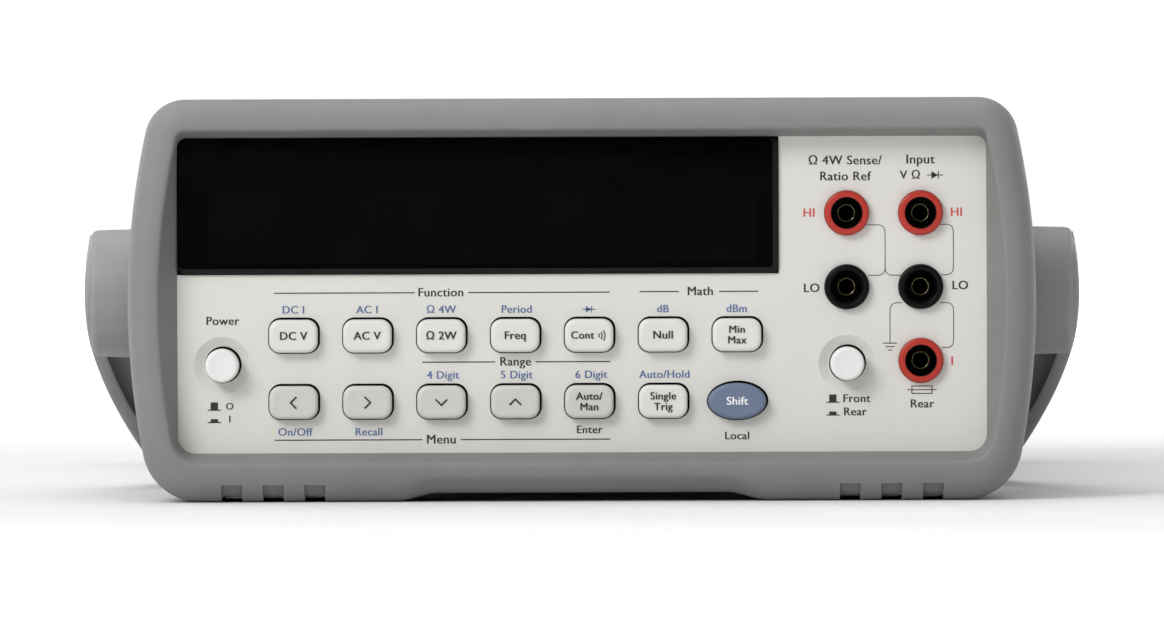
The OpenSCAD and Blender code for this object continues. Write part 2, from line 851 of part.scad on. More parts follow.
module serial_connector() {
    color("#c4c6c6") translate([serial_x, back_y, serial_z]) {
        difference() {
            union() {
                along_y(0, serial_flange_t) rounded(serial_flange[0], serial_flange[1], serial_flange_r);
                along_y(serial_flange_t - weld, serial_shell_end)
                    rounded(serial_shell[0], serial_shell[1], serial_shell_r);
                along_y(-serial_depth, e) square(serial_body, center = true);
            }
            along_y(serial_floor, serial_shell_end + 1)
                rounded(serial_mouth[0], serial_mouth[1], serial_mouth_r);
            for (s = [-1, 1])
                rod_y(s * serial_screw_pitch / 2, 0, screw_hole_r, -1, serial_flange_t + 1);
        }
        for (k = [0:serial_pins - 1])
            let (upper = k < serial_upper_pins,
                 place = upper ? k - (serial_upper_pins - 1) / 2
                               : k - (serial_pins + serial_upper_pins - 1) / 2)
                rod_y(place * serial_pin_pitch, upper ? serial_row_z : -serial_row_z,
                      serial_pin_r, serial_floor - weld, serial_pin_end);
    }
}

// Four threaded hexagonal posts: two beside each multi-way connector
module jackscrews() {
    color("#b8b9b6") {
        for (s = [-1, 1]) {
            translate([bus_x + s * bus_screw_pitch / 2, back_y + bus_flange_t, bus_z])
                jackscrew(bus_post);
            translate([serial_x + s * serial_screw_pitch / 2, back_y + serial_flange_t, serial_z])
                jackscrew(serial_post);
        }
    }
}

// One threaded post; its thin shank goes through the connector's flange
module jackscrew(post) {
    rotate([-90, 0, 0]) difference() {
        union() {
            cylinder(r = post[0], h = post[1], $fn = 6);
            translate([0, 0, -post_shank]) cylinder(r = screw_hole_r - post_shank_fit, h = post_shank + e);
        }
        translate([0, 0, post_bore_floor]) cylinder(r = post[2], h = post[1]);
    }
}

module ground_screw() {
    color("#bcb38a") difference() {
        union() {
            rod_y(ground_x, ground_z, ground_head_r, back_y, back_y + ground_head_t);
            rod_y(ground_x, ground_z, screw_r, back_y - ground_depth, back_y + e);
        }
        // the screwdriver's slot across the head
        box([ground_x - ground_slot[0] / 2, back_y + ground_slot_floor, ground_z - ground_slot[1] / 2],
            [ground_x + ground_slot[0] / 2, back_y + ground_head_t + 1, ground_z + ground_slot[1] / 2]);
    }
}

// Two captive screws in the rear frame and one under the case
module cover_screws() {
    color("#9c9d9a") {
        for (s = [-1, 1]) {
            rod_y(s * captive_x, captive_z, captive_head_r, back_y, back_y + captive_head_t);
            rod_y(s * captive_x, captive_z, screw_r, back_y - captive_depth, back_y + e);
        }
        translate([0, under_screw_y, case_z0 - under_head_t])
            cylinder(r = under_head_r, h = under_head_t);
        translate([0, under_screw_y, case_z0 - e]) cylinder(r = under_screw_r, h = under_screw_len);
    }
}

// ---------- inside the case ----------

module chassis() {
    color("#b5b8ba") difference() {
        union() {
            box([-chassis_half_w, -chassis_half_d, deck_z],
                [chassis_half_w, chassis_half_d, deck_z + sheet_t]);
            for (s = [0, 1]) mirror([s, 0, 0])
                box([chassis_half_w - sheet_t, -chassis_half_d, deck_z],
                    [chassis_half_w, chassis_half_d, deck_edge_z]);
            for (x = [-90, 0, 90], y = [-130, 0, 130])
                translate([x, y, deck_z + 1]) cylinder(r = 3, h = board_z - deck_z - 1);
        }
        translate([0, under_screw_y, deck_z - 1]) cylinder(r = 1.55, h = 4);
    }
}

module main_board() {
    color("#2f6b45") box([-101.5, -146, board_z + stack_gap], [101.5, 136, board_top]);
}

// Chips, relays, sockets and a sounder, as [x, y, width, depth, height]
CHIPS = [
    [-40, -20, 34, 16, 4], [-40, -60, 24, 24, 4], [-5, -60, 24, 24, 4], [-5, -20, 34, 16, 4],
    [-70, -60, 16, 10, 4], [-40, -100, 30, 12, 4], [-5, -100, 16, 16, 3], [-66, -100, 14, 14, 9],
    [30, -130, 20, 10, 10], [30, -112, 20, 10, 10], [30, -94, 20, 10, 10], [96, -100, 10, 30, 12],
    [2, 76, 20, 30, 10], [5, 110, 50, 20, 6], [60, 90, 30, 20, 4], [88, 90, 14, 30, 9]
];

module board_components() {
    color("#303236") for (c = CHIPS)
        translate([c[0] - c[2] / 2, c[1] - c[3] / 2, board_top + stack_gap]) cube([c[2], c[3], c[4]]);
}

transformer = [-76, 103, 0];

module transformer_core() {
    color("#6f6a62") translate(transformer) difference() {
        box(concat(-core_half, board_top + gap), concat(core_half, board_top + core_h));
        for (s = [-1, 1]) box([s * 11 - 4, -18, board_top + 8], [s * 11 + 4, 18, board_top + 40]);
    }
}

module transformer_winding() {
    color("#c98d3c") translate(transformer) difference() {
        box([-14.8, -25, board_top + 8.2], [14.8, 25, board_top + 39.8]);
        box([-7.2, -17.2, board_top + 8], [7.2, 17.2, board_top + 41]);
    }
}

module filter_capacitors() {
    color("#2c3f66") for (y = [64, 86, 108])
        translate([-36, y, board_top + stack_gap]) cylinder(r = capacitor_r, h = capacitor_h);
}

module heat_sink() {
    color("#8b8e90") translate([-76, 18, board_top + stack_gap]) {
        cube([44, 3, 30]);
        for (k = [0:fin_count - 1]) translate([k * fin_pitch, 2.9, 0]) cube([2, 14, 30]);
    }
}

module input_shield() {
    color("#c2c5c6") difference() {
        box(concat(shield_at[0], board_top + stack_gap), concat(shield_at[1], shield_top));
        box([shield_at[0][0] + shield_t, shield_at[0][1] + shield_t, board_z],
            [shield_at[1][0] - shield_t, shield_at[1][1] - shield_t, shield_top - shield_t]);
    }
}

// A flat cable from the front board down to the main board, with one round bend
module ribbon_cable() {
    board_back = panel_y + board_s + board_t;
    inner_r = ribbon_bend_r - ribbon_t;
    color("#9fa3a6") along_x(-22, 12) {
        translate([board_back + stack_gap, ribbon_z]) square([ribbon_run, ribbon_t]);
        translate([board_back + ribbon_run, ribbon_z - inner_r]) difference() {
            circle(r = ribbon_bend_r);
            circle(r = inner_r);
            translate([-10, -20]) square([10, 40]);
            translate([-1, -20]) square([20, 20]);
        }
        translate([board_back + ribbon_run + inner_r, board_top + stack_gap])
            square([ribbon_t, ribbon_z - inner_r - board_top]);
    }
}

// ---------- handle ----------

// The handle's outline in the X-Z plane: arms on an arc, round corners, a level grip
function handle_outline(t, bottom, r) =
    let (ro = bow_r - t, zk = bottom + r, a = asin((zk - pivot_z) / (ro - r)),
         kx = bow_cx + (ro - r) * cos(a),
         top = asin((hub_r + 1) / ro),
         right = concat(arc(kx, zk, r, -90, a, 8), arc(bow_cx, pivot_z, ro, a + 1, top, 16)))
    concat(right, mirrored(right));

module handle_band() {
    difference() {
        polygon(handle_outline(0, grip_z0, corner_r));
        translate([0, e]) polygon(handle_outline(arm_t, grip_z0 + grip_t, inner_corner_r));
    }
}

// The handle's outline in the Y-Z plane: a round hub and a tapering strap down to the grip
module handle_side() {
    low = [grip_front, grip_z0 - pivot_z];
    high = [grip_front + grip_w, grip_z0 + grip_t - pivot_z];
    al = atan2(low[1], low[0]) + asin(hub_r / norm(low));
    ah = atan2(high[1], high[0]) - asin(hub_r / norm(high));
    translate([pivot_y, pivot_z]) {
        circle(r = hub_r, $fn = 96);
        polygon([
            [0, 0], hub_r * [sin(al), -cos(al)], low, [high[0] - 2, low[1]],
            [high[0], low[1] + 2], high, hub_r * [-sin(ah), cos(ah)]
        ]);
    }
}

module handle() {
    color("#9a9c9a") difference() {
        union() {
            intersection() {
                along_y(pivot_y - 30, pivot_y + 130) handle_band();
                along_x(-hub_x - 1, hub_x + 1) handle_side();
            }
            for (s = [0, 1]) mirror([s, 0, 0]) hub_boss();
        }
        for (s = [0, 1]) mirror([s, 0, 0])
            rod_x(pivot_y, pivot_z, pivot_r + 0.05, case_w / 2 - 1, case_w / 2 + post_len + 0.5);
    }
}

// The tapered boss between an arm and the case
module hub_boss() {
    translate([case_w / 2 + hub_gap, pivot_y, pivot_z]) rotate([0, 90, 0])
        cylinder(r1 = hub_r, r2 = hub_r_out, h = hub_x - case_w / 2 - 3.2, $fn = 96);
}

// The posts that the handle's hubs turn on, fixed to the case's sides
module handle_pivots() {
    color("#7c7e7d") for (s = [0, 1]) mirror([s, 0, 0]) {
        rod_x(pivot_y, pivot_z, collar_r, case_w / 2, case_w / 2 + collar_t);
        rod_x(pivot_y, pivot_z, pivot_r, case_w / 2 + collar_t - gap, case_w / 2 + post_len);
    }
}

// ---------- nodes ----------

front_bumper();
rear_bumper();
cover();
front_panel();
jack_plate();
display_window();
display_tube();
front_board();
key_mat();
for (i = [0:len(KEYS) - 1]) key(i);
push_button(power_x);  // power_button
push_rod(power_x, power_switch_y);  // power_rod
push_switch(power_x, power_switch_y, power_switch_len);  // power_switch
push_button(input_x);  // input_button
push_rod(input_x, input_switch_y);  // input_rod
push_switch(input_x, input_switch_y, input_switch_len);  // input_switch
on_front() jack_bodies();  // front_jack_bodies
on_front() jack_collars();  // front_jack_collars
on_front() jack_contacts();  // front_jack_contacts
rear_panel();
on_rear() jack_bodies();  // rear_jack_bodies
on_rear() jack_collars();  // rear_jack_collars
on_rear() jack_contacts();  // rear_jack_contacts
mains_inlet();
mains_pins();
line_fuse_drawer();
line_fuse();
input_fuse_holder();
input_fuse_cap();
input_fuse();
bnc_connectors();
bus_connector();
serial_connector();
jackscrews();
ground_screw();
cover_screws();
chassis();
main_board();
board_components();
transformer_core();
transformer_winding();
filter_capacitors();
heat_sink();
input_shield();
ribbon_cable();
handle();
handle_pivots();
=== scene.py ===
"""Looks of the bench multimeter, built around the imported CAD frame.

Shapes are written in millimetres in the row frame (X right, Y to the rear, Z up) and
turned into metres as each mesh is made.
"""
import math

import bmesh
import bpy
from mathutils import Matrix, Vector


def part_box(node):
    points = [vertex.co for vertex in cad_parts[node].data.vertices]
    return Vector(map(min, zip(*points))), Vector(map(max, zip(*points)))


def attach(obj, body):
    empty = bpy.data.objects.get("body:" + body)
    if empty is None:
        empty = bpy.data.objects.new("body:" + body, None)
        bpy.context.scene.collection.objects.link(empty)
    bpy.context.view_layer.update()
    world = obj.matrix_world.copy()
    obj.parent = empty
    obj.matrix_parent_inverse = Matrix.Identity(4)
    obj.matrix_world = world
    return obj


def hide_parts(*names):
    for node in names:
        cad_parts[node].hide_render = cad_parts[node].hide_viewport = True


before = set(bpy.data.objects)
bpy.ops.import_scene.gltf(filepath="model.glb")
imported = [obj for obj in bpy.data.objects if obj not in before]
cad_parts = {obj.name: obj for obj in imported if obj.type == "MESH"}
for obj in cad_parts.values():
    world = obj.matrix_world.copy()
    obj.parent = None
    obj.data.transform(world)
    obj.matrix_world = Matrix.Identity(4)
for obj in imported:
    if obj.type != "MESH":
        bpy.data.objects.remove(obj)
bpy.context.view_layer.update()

MM = 0.001
SMOOTH_ANGLE = math.radians(38)

# ---------- sizes taken from the frame ----------


def box_mm(node):
    """A CAD node's lowest and highest corners in millimetres."""
    low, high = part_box(node)
    return [v / MM for v in low], [v / MM for v in high]


PANEL_Y = box_mm("front_panel")[0][1]
BACK_Y = box_mm("rear_panel")[1][1]
FRONT_Y = box_mm("front_bumper")[0][1]
REAR_Y = box_mm("rear_bumper")[1][1]
BUMPER_LEN = box_mm("front_bumper")[1][1] - FRONT_Y
CASE_LOW, CASE_HIGH = box_mm("front_panel")
HUB_X = box_mm("handle")[1][0]
PIVOT_Y = (box_mm("handle_pivots")[0][1] + box_mm("handle_pivots")[1][1]) / 2
PIVOT_Z = (box_mm("handle_pivots")[0][2] + box_mm("handle_pivots")[1][2]) / 2

# ---------- materials ----------


def new_material(name):
    """An empty node material with its Principled shader."""
    mat = bpy.data.materials.new(name)
    mat.use_nodes = True
    return mat, mat.node_tree, mat.node_tree.nodes["Principled BSDF"]


def set_inputs(node, values):
    """Gives a shader node's inputs their values."""
    for key, value in values.items():
        node.inputs[key].default_value = value


def noise(tree, scale, detail=3.0, rough=0.55, stretch=None):
    """A noise texture in object coordinates, optionally stretched along the axes."""
    place = tree.nodes.new("ShaderNodeTexCoord").outputs["Object"]
    texture = tree.nodes.new("ShaderNodeTexNoise")
    set_inputs(texture, {"Scale": scale, "Detail": detail, "Roughness": rough})
    if stretch:
        mapping = tree.nodes.new("ShaderNodeMapping")
        set_inputs(mapping, {"Scale": stretch})
        tree.links.new(place, mapping.inputs["Vector"])
        place = mapping.outputs["Vector"]
    tree.links.new(place, texture.inputs["Vector"])
    return texture.outputs["Fac"]


def spread(tree, fac, low, high, start=0.3, end=0.7):
    """Maps a 0..1 factor to the range low..high."""
    remap = tree.nodes.new("ShaderNodeMapRange")
    set_inputs(remap, {"From Min": start, "From Max": end, "To Min": low, "To Max": high})
    tree.links.new(fac, remap.inputs["Value"])
    return remap.outputs["Result"]


def tint(tree, fac, dark, light):
    """Mixes two colours by a factor."""
    mix = tree.nodes.new("ShaderNodeMix")
    mix.data_type = "RGBA"
    set_inputs(mix, {6: (*dark, 1), 7: (*light, 1)})
    tree.links.new(fac, mix.inputs[0])
    return mix.outputs[2]


def linear(r, g, b):
    """A colour given as 0..255 screen values, as the shader's linear values."""
    def one(c):
        c /= 255
        return c / 12.92 if c <= 0.04045 else ((c + 0.055) / 1.055) ** 2.4
    return one(r), one(g), one(b)


# Noise scales of the mottling, the scuffs and the gloss
BLOTCH_SCALE = 45.0
SCUFF_SCALE = 260.0
GLOSS_SCALE = 160.0
# How far the roughness strays below and above its middle value
SMOOTHER = 0.05
ROUGHER = 0.06
# Pointiness at which an edge starts to be worn, and where it is worn in full
EDGE_START = 0.51
EDGE_FULL = 0.6
WORN_GAIN = 1.35
WORN_LIFT = 0.02
BUMP_DEPTH = 0.0001
COAT_ROUGH = 0.08


def surface(name, colour, rough, grain=0.0, grain_scale=3000.0, spec=0.5, metal=0.0,
            vary=0.05, wear=0.0, coat=0.0, stretch=None):
    """A moulded, painted or metal surface: mottled colour, uneven gloss and a fine grain."""
    mat, tree, shader = new_material(name)
    base = linear(*colour)
    blotch = noise(tree, BLOTCH_SCALE, 4.0)
    dark = tuple(c * (1 - vary) for c in base)
    light = tuple(min(1.0, c * (1 + vary)) for c in base)
    colour_out = tint(tree, spread(tree, blotch, 0, 1), dark, light)
    if wear:
        edge = tree.nodes.new("ShaderNodeNewGeometry").outputs["Pointiness"]
        scuff = noise(tree, SCUFF_SCALE, 5.0, 0.7)
        rub = tree.nodes.new("ShaderNodeMath")
        rub.operation = "MULTIPLY"
        tree.links.new(spread(tree, edge, 0, wear, EDGE_START, EDGE_FULL), rub.inputs[0])
        tree.links.new(spread(tree, scuff, 0.2, 1), rub.inputs[1])
        worn = tuple(min(1.0, c * WORN_GAIN + WORN_LIFT) for c in base)
        worn_out = tint(tree, rub.outputs[0], base, worn)
        tree.links.new(colour_out, worn_out.node.inputs[6])
        colour_out = worn_out
    tree.links.new(colour_out, shader.inputs["Base Color"])
    gloss = noise(tree, GLOSS_SCALE, 4.0, 0.6, stretch)
    tree.links.new(spread(tree, gloss, max(0.02, rough - SMOOTHER), min(1.0, rough + ROUGHER)),
                   shader.inputs["Roughness"])
    set_inputs(shader, {"Specular IOR Level": spec, "Metallic": metal})
    if coat:
        set_inputs(shader, {"Coat Weight": coat, "Coat Roughness": COAT_ROUGH})
    if grain:
        bump = tree.nodes.new("ShaderNodeBump")
        set_inputs(bump, {"Strength": grain, "Distance": BUMP_DEPTH})
        tree.links.new(noise(tree, grain_scale, 2.0, 0.5, stretch), bump.inputs["Height"])
        tree.links.new(bump.outputs["Normal"], shader.inputs["Normal"])
    return mat


RUBBER = surface("rubber_grey", (124, 125, 123), 0.62, 0.35, 2600, spec=0.35, wear=0.35)
HANDLE = surface("handle_grey", (140, 141, 140), 0.55, 0.45, 2200, spec=0.4, wear=0.3)
PAINT = surface("cover_paint", (186, 185, 177), 0.48, 0.5, 1500, vary=0.02)
PANEL = surface("panel_plastic", (211, 210, 205), 0.6, 0.18, 3200, spec=0.35, vary=0.012)
REAR_PANEL = surface("rear_panel_plastic", (196, 195, 188), 0.6, 0.2, 3200, spec=0.35, vary=0.015)
KEY_LIGHT = surface("key_light", (214, 213, 208), 0.5, 0.12, 3400, vary=0.012)
KEY_GREY = surface("key_grey", (196, 195, 191), 0.5, 0.12, 3400, vary=0.012)
KEY_BLUE = surface("key_blue", (100, 113, 138), 0.5, 0.12, 3400, vary=0.02)
WHITE = surface("button_white", (222, 222, 220), 0.38, 0.05, 3400, vary=0.01)
BLACK = surface("black_plastic", (5, 5, 6), 0.34, 0.1, 2600, spec=0.12, vary=0.1)
BLACK_MATTE = surface("black_matte", (30, 31, 33), 0.6, 0.3, 2400, vary=0.1)
RED = surface("red_plastic", (170, 34, 14), 0.36, 0.06, 2600, vary=0.03)
BRASS = surface("contact_metal", (186, 170, 128), 0.27, 0.02, 1200, metal=1.0, stretch=(1, 6, 1))
# Painted shade: the dark that stands in for the shade deep inside the contacts' bores
BORE_SHADE = surface("painted_bore_shade", (16, 14, 12), 0.6, 0.1, 1200, spec=0.1)
NICKEL = surface("nickel_plate", (168, 168, 164), 0.32, 0.015, 1200, metal=1.0, vary=0.02)
ZINC = surface("zinc_sheet", (182, 184, 186), 0.4, 0.05, 500, metal=1.0, stretch=(1, 8, 1))
BOARD = surface("solder_mask", (32, 92, 58), 0.32, 0.25, 900, vary=0.15, coat=0.3)
MAT_RUBBER = surface("mat_rubber", (70, 72, 74), 0.7, 0.3, 2400)
CORE = surface("core_laminations", (120, 116, 110), 0.45, 0.7, 900, metal=0.8, stretch=(1, 12, 1))
WINDING = surface("winding_tape", (188, 132, 52), 0.4, 0.4, 900, vary=0.1)
CAPACITOR = surface("capacitor_sleeve", (38, 50, 84), 0.3, 0.1, 900)
HEAT_SINK = surface("heat_sink", (66, 68, 70), 0.42, 0.3, 700, metal=0.7, stretch=(1, 1, 10))
CABLE = surface("ribbon", (168, 172, 174), 0.45, 0.5, 600, stretch=(12, 1, 1))
# Painted shade: the dark colour of the shaded gaps round the keys and buttons
GAP_SHADE = surface("painted_gap_shade", (12, 12, 13), 0.8, 0.1, 2600, spec=0.05)
WINDOW = surface("window_black", (1, 2, 3), 0.09, 0.02, 900, spec=0.02, vary=0.2)
WINDOW_EDGE = surface("window_bevel", (24, 27, 28), 0.2, 0.02, 900, spec=0.1, vary=0.1)
DISPLAY = surface("display_area", (3, 4, 4), 0.3, 0.25, 1800, spec=0.03, vary=0.3, stretch=(6, 1, 1))
INK_BLACK = surface("ink_black", (30, 31, 33), 0.5, 0.05, 4000, vary=0.05)
INK_BLUE = surface("ink_blue", (82, 102, 146), 0.5, 0.05, 4000, vary=0.05)
INK_RED = surface("ink_red", (196, 74, 62), 0.5, 0.05, 4000, vary=0.05)
INK_WHITE = surface("ink_white", (238, 239, 240), 0.5, 0.05, 4000, vary=0.02)


def glass_material():
    """Clear glass with a faint tint."""
    mat, tree, shader = new_material("fuse_glass")
    tinted = (*linear(215, 226, 224), 1)
    set_inputs(shader, {"Base Color": tinted, "Transmission Weight": 0.85, "IOR": 1.5})
    smear = spread(tree, noise(tree, 300, 3), 0.03, 0.1)
    tree.links.new(smear, shader.inputs["Roughness"])
    return mat


GLASS = glass_material()

# ---------- meshes ----------

# Distance in metres within which vertices are joined, and a lathe's radius at its axis in millimetres
JOIN_WITHIN = 1e-7
AXIS_R = 0.0001


def add_object(name, data):
    """A new object in the scene that shows the data given."""
    thing = bpy.data.objects.new(name, data)
    bpy.context.scene.collection.objects.link(thing)
    return thing


def make(name, shape, materials, body, smooth=True):
    """A piece from (vertices, faces) in millimetres: cleaned, given its materials and made to ride."""
    verts, faces = shape
    mesh = bpy.data.meshes.new(name)
    mesh.from_pydata([[c * MM for c in v] for v in verts], [], faces)
    work = bmesh.new()
    work.from_mesh(mesh)
    bmesh.ops.remove_doubles(work, verts=work.verts, dist=JOIN_WITHIN)
    bmesh.ops.recalc_face_normals(work, faces=work.faces)
    work.to_mesh(mesh)
    work.free()
    for mat in materials:
        mesh.materials.append(mat)
    if smooth:
        mesh.shade_smooth()
        mesh.set_sharp_from_angle(angle=SMOOTH_ANGLE)
    piece = add_object(name, mesh)
    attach(piece, body)
    return piece


def loft(rings, closed=False, cap_start=False, cap_end=False):
    """Vertices and quads through rings of equal length; closed joins the last ring to the first."""
    count = len(rings[0])
    verts = [p for ring in rings for p in ring]
    faces = []
    last = len(rings) if closed else len(rings) - 1
    for i in range(last):
        a, b = i * count, ((i + 1) % len(rings)) * count
        for j in range(count):
            k = (j + 1) % count
            faces.append((a + j, a + k, b + k, b + j))
    if cap_start:
        faces.append(tuple(range(count)))
    if cap_end:
        faces.append(tuple(range(len(verts) - count, len(verts))))
    return verts, faces


def turns(steps):
    """Angles all the way round in equal steps."""
    return [2 * math.pi * k / steps for k in range(steps)]


def plate(outline, ys):
    """A flat plate with an (x, z) outline between two depths."""
    return capped([[(x, y, z) for x, z in outline] for y in ys])


def lathe(profile, x, z, steps=72):
    """A turned shape about an axis along Y at x, z, from (radius, y) points; radius 0 closes it."""
    rings = []
    for radius, y in profile:
        radius = max(radius, AXIS_R)
        rings.append([(x + radius * math.cos(t), y, z + radius * math.sin(t)) for t in turns(steps)])
    return loft(rings, cap_start=profile[0][0] == 0, cap_end=profile[-1][0] == 0)


def capped(rings):
    """A loft with both its ends closed."""
    return loft(rings, cap_start=True, cap_end=True)


def merged(parts):
    """Several (vertices, faces) pairs as one."""
    verts, faces = [], []
    for v, f in parts:
        faces += [tuple(i + len(verts) for i in face) for face in f]
        verts += v
    return verts, faces


def arc(cx, cz, r, a0, a1, n):
    """Points on an arc, with angles in degrees, both ends included."""
    return [(cx + r * math.cos(math.radians(a0 + (a1 - a0) * k / n)),
             cz + r * math.sin(math.radians(a0 + (a1 - a0) * k / n))) for k in range(n + 1)]


def smoothstep(a, b, v):
    """0 up to a, 1 from b on, and a smooth rise between them."""
    t = min(1.0, max(0.0, (v - a) / (b - a)))
    return t * t * (3 - 2 * t)


# ---------- bumpers ----------

BUMPER_HALF_W = box_mm("front_bumper")[1][0]
BUMPER_TOP = box_mm("front_bumper")[1][2]
BOW_R = 205.0
BOW_Z = 51.5
TOP_R = 10.5
BOTTOM_R = 15.0
# How much faster than the sides the underside moves in as the outline gets smaller
UNDERSIDE_SLOPE = 1.25
OPENING_HALF_W = 104.35
OPENING_LOW = 12.5
OPENING_HIGH = 93.8
OPENING_BOTTOM_R = 4.5
OPENING_TOP_R = 2.6
POCKET_GAP = 0.1
POCKET_R = 4.1
NEARLY_STRAIGHT = 9000.0
CORNER_STEPS = 12
SIDE_STEPS = 20
TOP_STEPS = 24
FOOT_SLOTS = (68.9, 79.6, 90.3)
SLOT_W = 5.2
SLOT_EDGE = 0.12
SLOT_RISE = 1.2
SLOT_SET_BACK = 1.0
SLOT_TOP_INSET = 3.5
ARCH_RISE = 2.2
ARCH_HALF_W = 37.0
ARCH_EDGE = 11.5
# Insets between which the arch fades out round the front edge
ARCH_FADE = (1.5, 6.5)
# Spacing of the samples along the underside, and where they end
COARSE_STEP = 3.0
FINE_STEP = 1.2
FINE_MARGIN = 2
BOTTOM_END = 99.5


def bottom_samples():
    """X positions along the underside, close together at the arch's ends and the feet's slots."""
    xs = [0.0]
    while xs[-1] < BOTTOM_END:
        at_arch_end = ARCH_HALF_W - FINE_MARGIN < xs[-1] < ARCH_HALF_W + ARCH_EDGE + FINE_MARGIN
        xs.append(xs[-1] + (FINE_STEP if at_arch_end else COARSE_STEP))
    for x in FOOT_SLOTS:
        for side in (-1, 1):
            for step in (-SLOT_EDGE, -SLOT_EDGE / 2, 0, SLOT_EDGE / 2, SLOT_EDGE):
                xs.append(x + side * SLOT_W / 2 + step)
    xs = sorted(x for x in xs if x < BOTTOM_END)
    return [-x for x in reversed(xs[1:])] + xs


BOTTOM_XS = bottom_samples()


def in_slot(x):
    """1 inside a foot's groove, 0 outside, with a quick change at its sides."""
    edge = min(abs(abs(x) - slot) - SLOT_W / 2 for slot in FOOT_SLOTS)
    return 1 - smoothstep(-SLOT_EDGE, SLOT_EDGE, edge)


def arch(x):
    """How far the underside stands off the bench between the feet."""
    return ARCH_RISE * (1 - smoothstep(ARCH_HALF_W, ARCH_HALF_W + ARCH_EDGE, abs(x)))


def bowed(half_w, low, high, side_r, bottom_r, top_r):
    """Outline with bowed sides, counter-clockwise from the bottom left."""
    cx = half_w - side_r
    at = math.degrees(math.asin((high - top_r - BOW_Z) / (side_r - top_r)))
    ab = math.degrees(math.asin((low + bottom_r - BOW_Z) / (side_r - bottom_r)))
    top_cx = cx + (side_r - top_r) * math.cos(math.radians(at))
    bottom_cx = cx + (side_r - bottom_r) * math.cos(math.radians(ab))
    right = arc(bottom_cx, low + bottom_r, bottom_r, -90, ab, CORNER_STEPS)
    right += arc(cx, BOW_Z, side_r, ab, at, SIDE_STEPS)[1:-1]
    right += arc(top_cx, high - top_r, top_r, at, 90, CORNER_STEPS)
    left = [(-x, z) for x, z in reversed(right)]
    bottom = [(x, low) for x in BOTTOM_XS]
    top = [(top_cx * (1 - 2 * k / TOP_STEPS), high) for k in range(1, TOP_STEPS)]
    return bottom + right + top + left


def outer_outline(inset, arched=1.0, grooved=1.0):
    """The bumper's outer outline, smaller by inset; the others scale the arch and the grooves."""
    low = inset * UNDERSIDE_SLOPE
    points = bowed(BUMPER_HALF_W - inset, low, BUMPER_TOP - inset, BOW_R - inset,
                   BOTTOM_R - inset, TOP_R - inset)
    count = len(BOTTOM_XS)
    raised = [(x, z + max(arch(x) * arched, in_slot(x) * SLOT_RISE * grooved)) for x, z in points[:count]]
    return raised + points[count:]


REAR_EDGE_R = 2.0
REAR_ARCH = 0.8
POCKET_END_GAP = 0.2
LENGTH_RINGS = 5
RECESS_RINGS = 4
FRONT_EDGE_INSET = 6.6
FRONT_EDGE_DEPTH = 7.0
# Inset and depth of the rubber's inner lip, from the face in towards the panel
LIP_PROFILE = [(7.1, 0.0), (7.5, 0.05), (7.9, 0.22), (8.2, 0.55), (8.35, 1.0)]


def flat_ring(outline, depth):
    """An (x, z) outline as points at one depth behind the bumper's face."""
    return [(x, depth, z) for x, z in outline]


def front_edge_insets():
    """Insets round the big front edge, with a close pair where the feet's grooves end."""
    around = [FRONT_EDGE_INSET * (1 - math.cos(math.radians(a))) for a in range(0, 91, 9)]
    return sorted(around + [SLOT_TOP_INSET, SLOT_TOP_INSET + SLOT_EDGE])


def front_edge_ring(inset):
    """One ring of the rounded front edge; inside a groove it is set back as well as raised."""
    turn = math.acos(1 - inset / FRONT_EDGE_INSET)
    depth = FRONT_EDGE_DEPTH * (1 - math.sin(turn))
    groove = 1.0 if inset <= SLOT_TOP_INSET else 0.0
    outline = outer_outline(inset, 1 - smoothstep(*ARCH_FADE, inset), groove)
    ring = flat_ring(outline, depth)
    for k, (x, y, z) in enumerate(ring[:len(BOTTOM_XS)]):
        ring[k] = (x, y + in_slot(x) * SLOT_SET_BACK * groove * math.sin(turn), z)
    return ring


def bumper_rings(recess):
    """Rings of (x, depth, z) from the case, round the outside and in to the panel."""
    length = BUMPER_LEN
    opening = bowed(OPENING_HALF_W, OPENING_LOW, OPENING_HIGH, NEARLY_STRAIGHT,
                    OPENING_BOTTOM_R, OPENING_TOP_R)
    pocket = bowed(CASE_HIGH[0] + POCKET_GAP, CASE_LOW[2] - POCKET_GAP, CASE_HIGH[2] + POCKET_GAP,
                   NEARLY_STRAIGHT, POCKET_R, POCKET_R)
    rings = [flat_ring(pocket, recess), flat_ring(pocket, length - POCKET_END_GAP)]
    for a in range(0, 91, 15):
        t = math.radians(a)
        rings.append(flat_ring(outer_outline(REAR_EDGE_R * (1 - math.sin(t)), REAR_ARCH),
                               length - REAR_EDGE_R * (1 - math.cos(t))))
    straight = length - REAR_EDGE_R - FRONT_EDGE_DEPTH
    for k in range(1, LENGTH_RINGS + 1):
        rings.append(flat_ring(outer_outline(0), length - REAR_EDGE_R - straight * k / LENGTH_RINGS))
    rings += [front_edge_ring(inset) for inset in front_edge_insets()]
    for inset, depth in LIP_PROFILE:
        rings.append(flat_ring(outer_outline(inset, 0, 0), depth))
    inset, depth = LIP_PROFILE[-1]
    start = outer_outline(inset, 0, 0)
    for k in range(1, RECESS_RINGS + 1):
        t = k / RECESS_RINGS
        blend = [(a[0] * (1 - t) + b[0] * t, a[1] * (1 - t) + b[1] * t) for a, b in zip(start, opening)]
        rings.append(flat_ring(blend, depth + (recess - depth) * t))
    return rings


def bumper(name, recess, face_y, direction, node):
    """A rubber bumper whose face is at face_y and whose length runs in the Y direction given."""
    rings = [[(x, face_y + direction * d, z) for x, d, z in ring] for ring in bumper_rings(recess)]
    piece = make(name, loft(rings, closed=True), [RUBBER], "case")
    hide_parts(node)


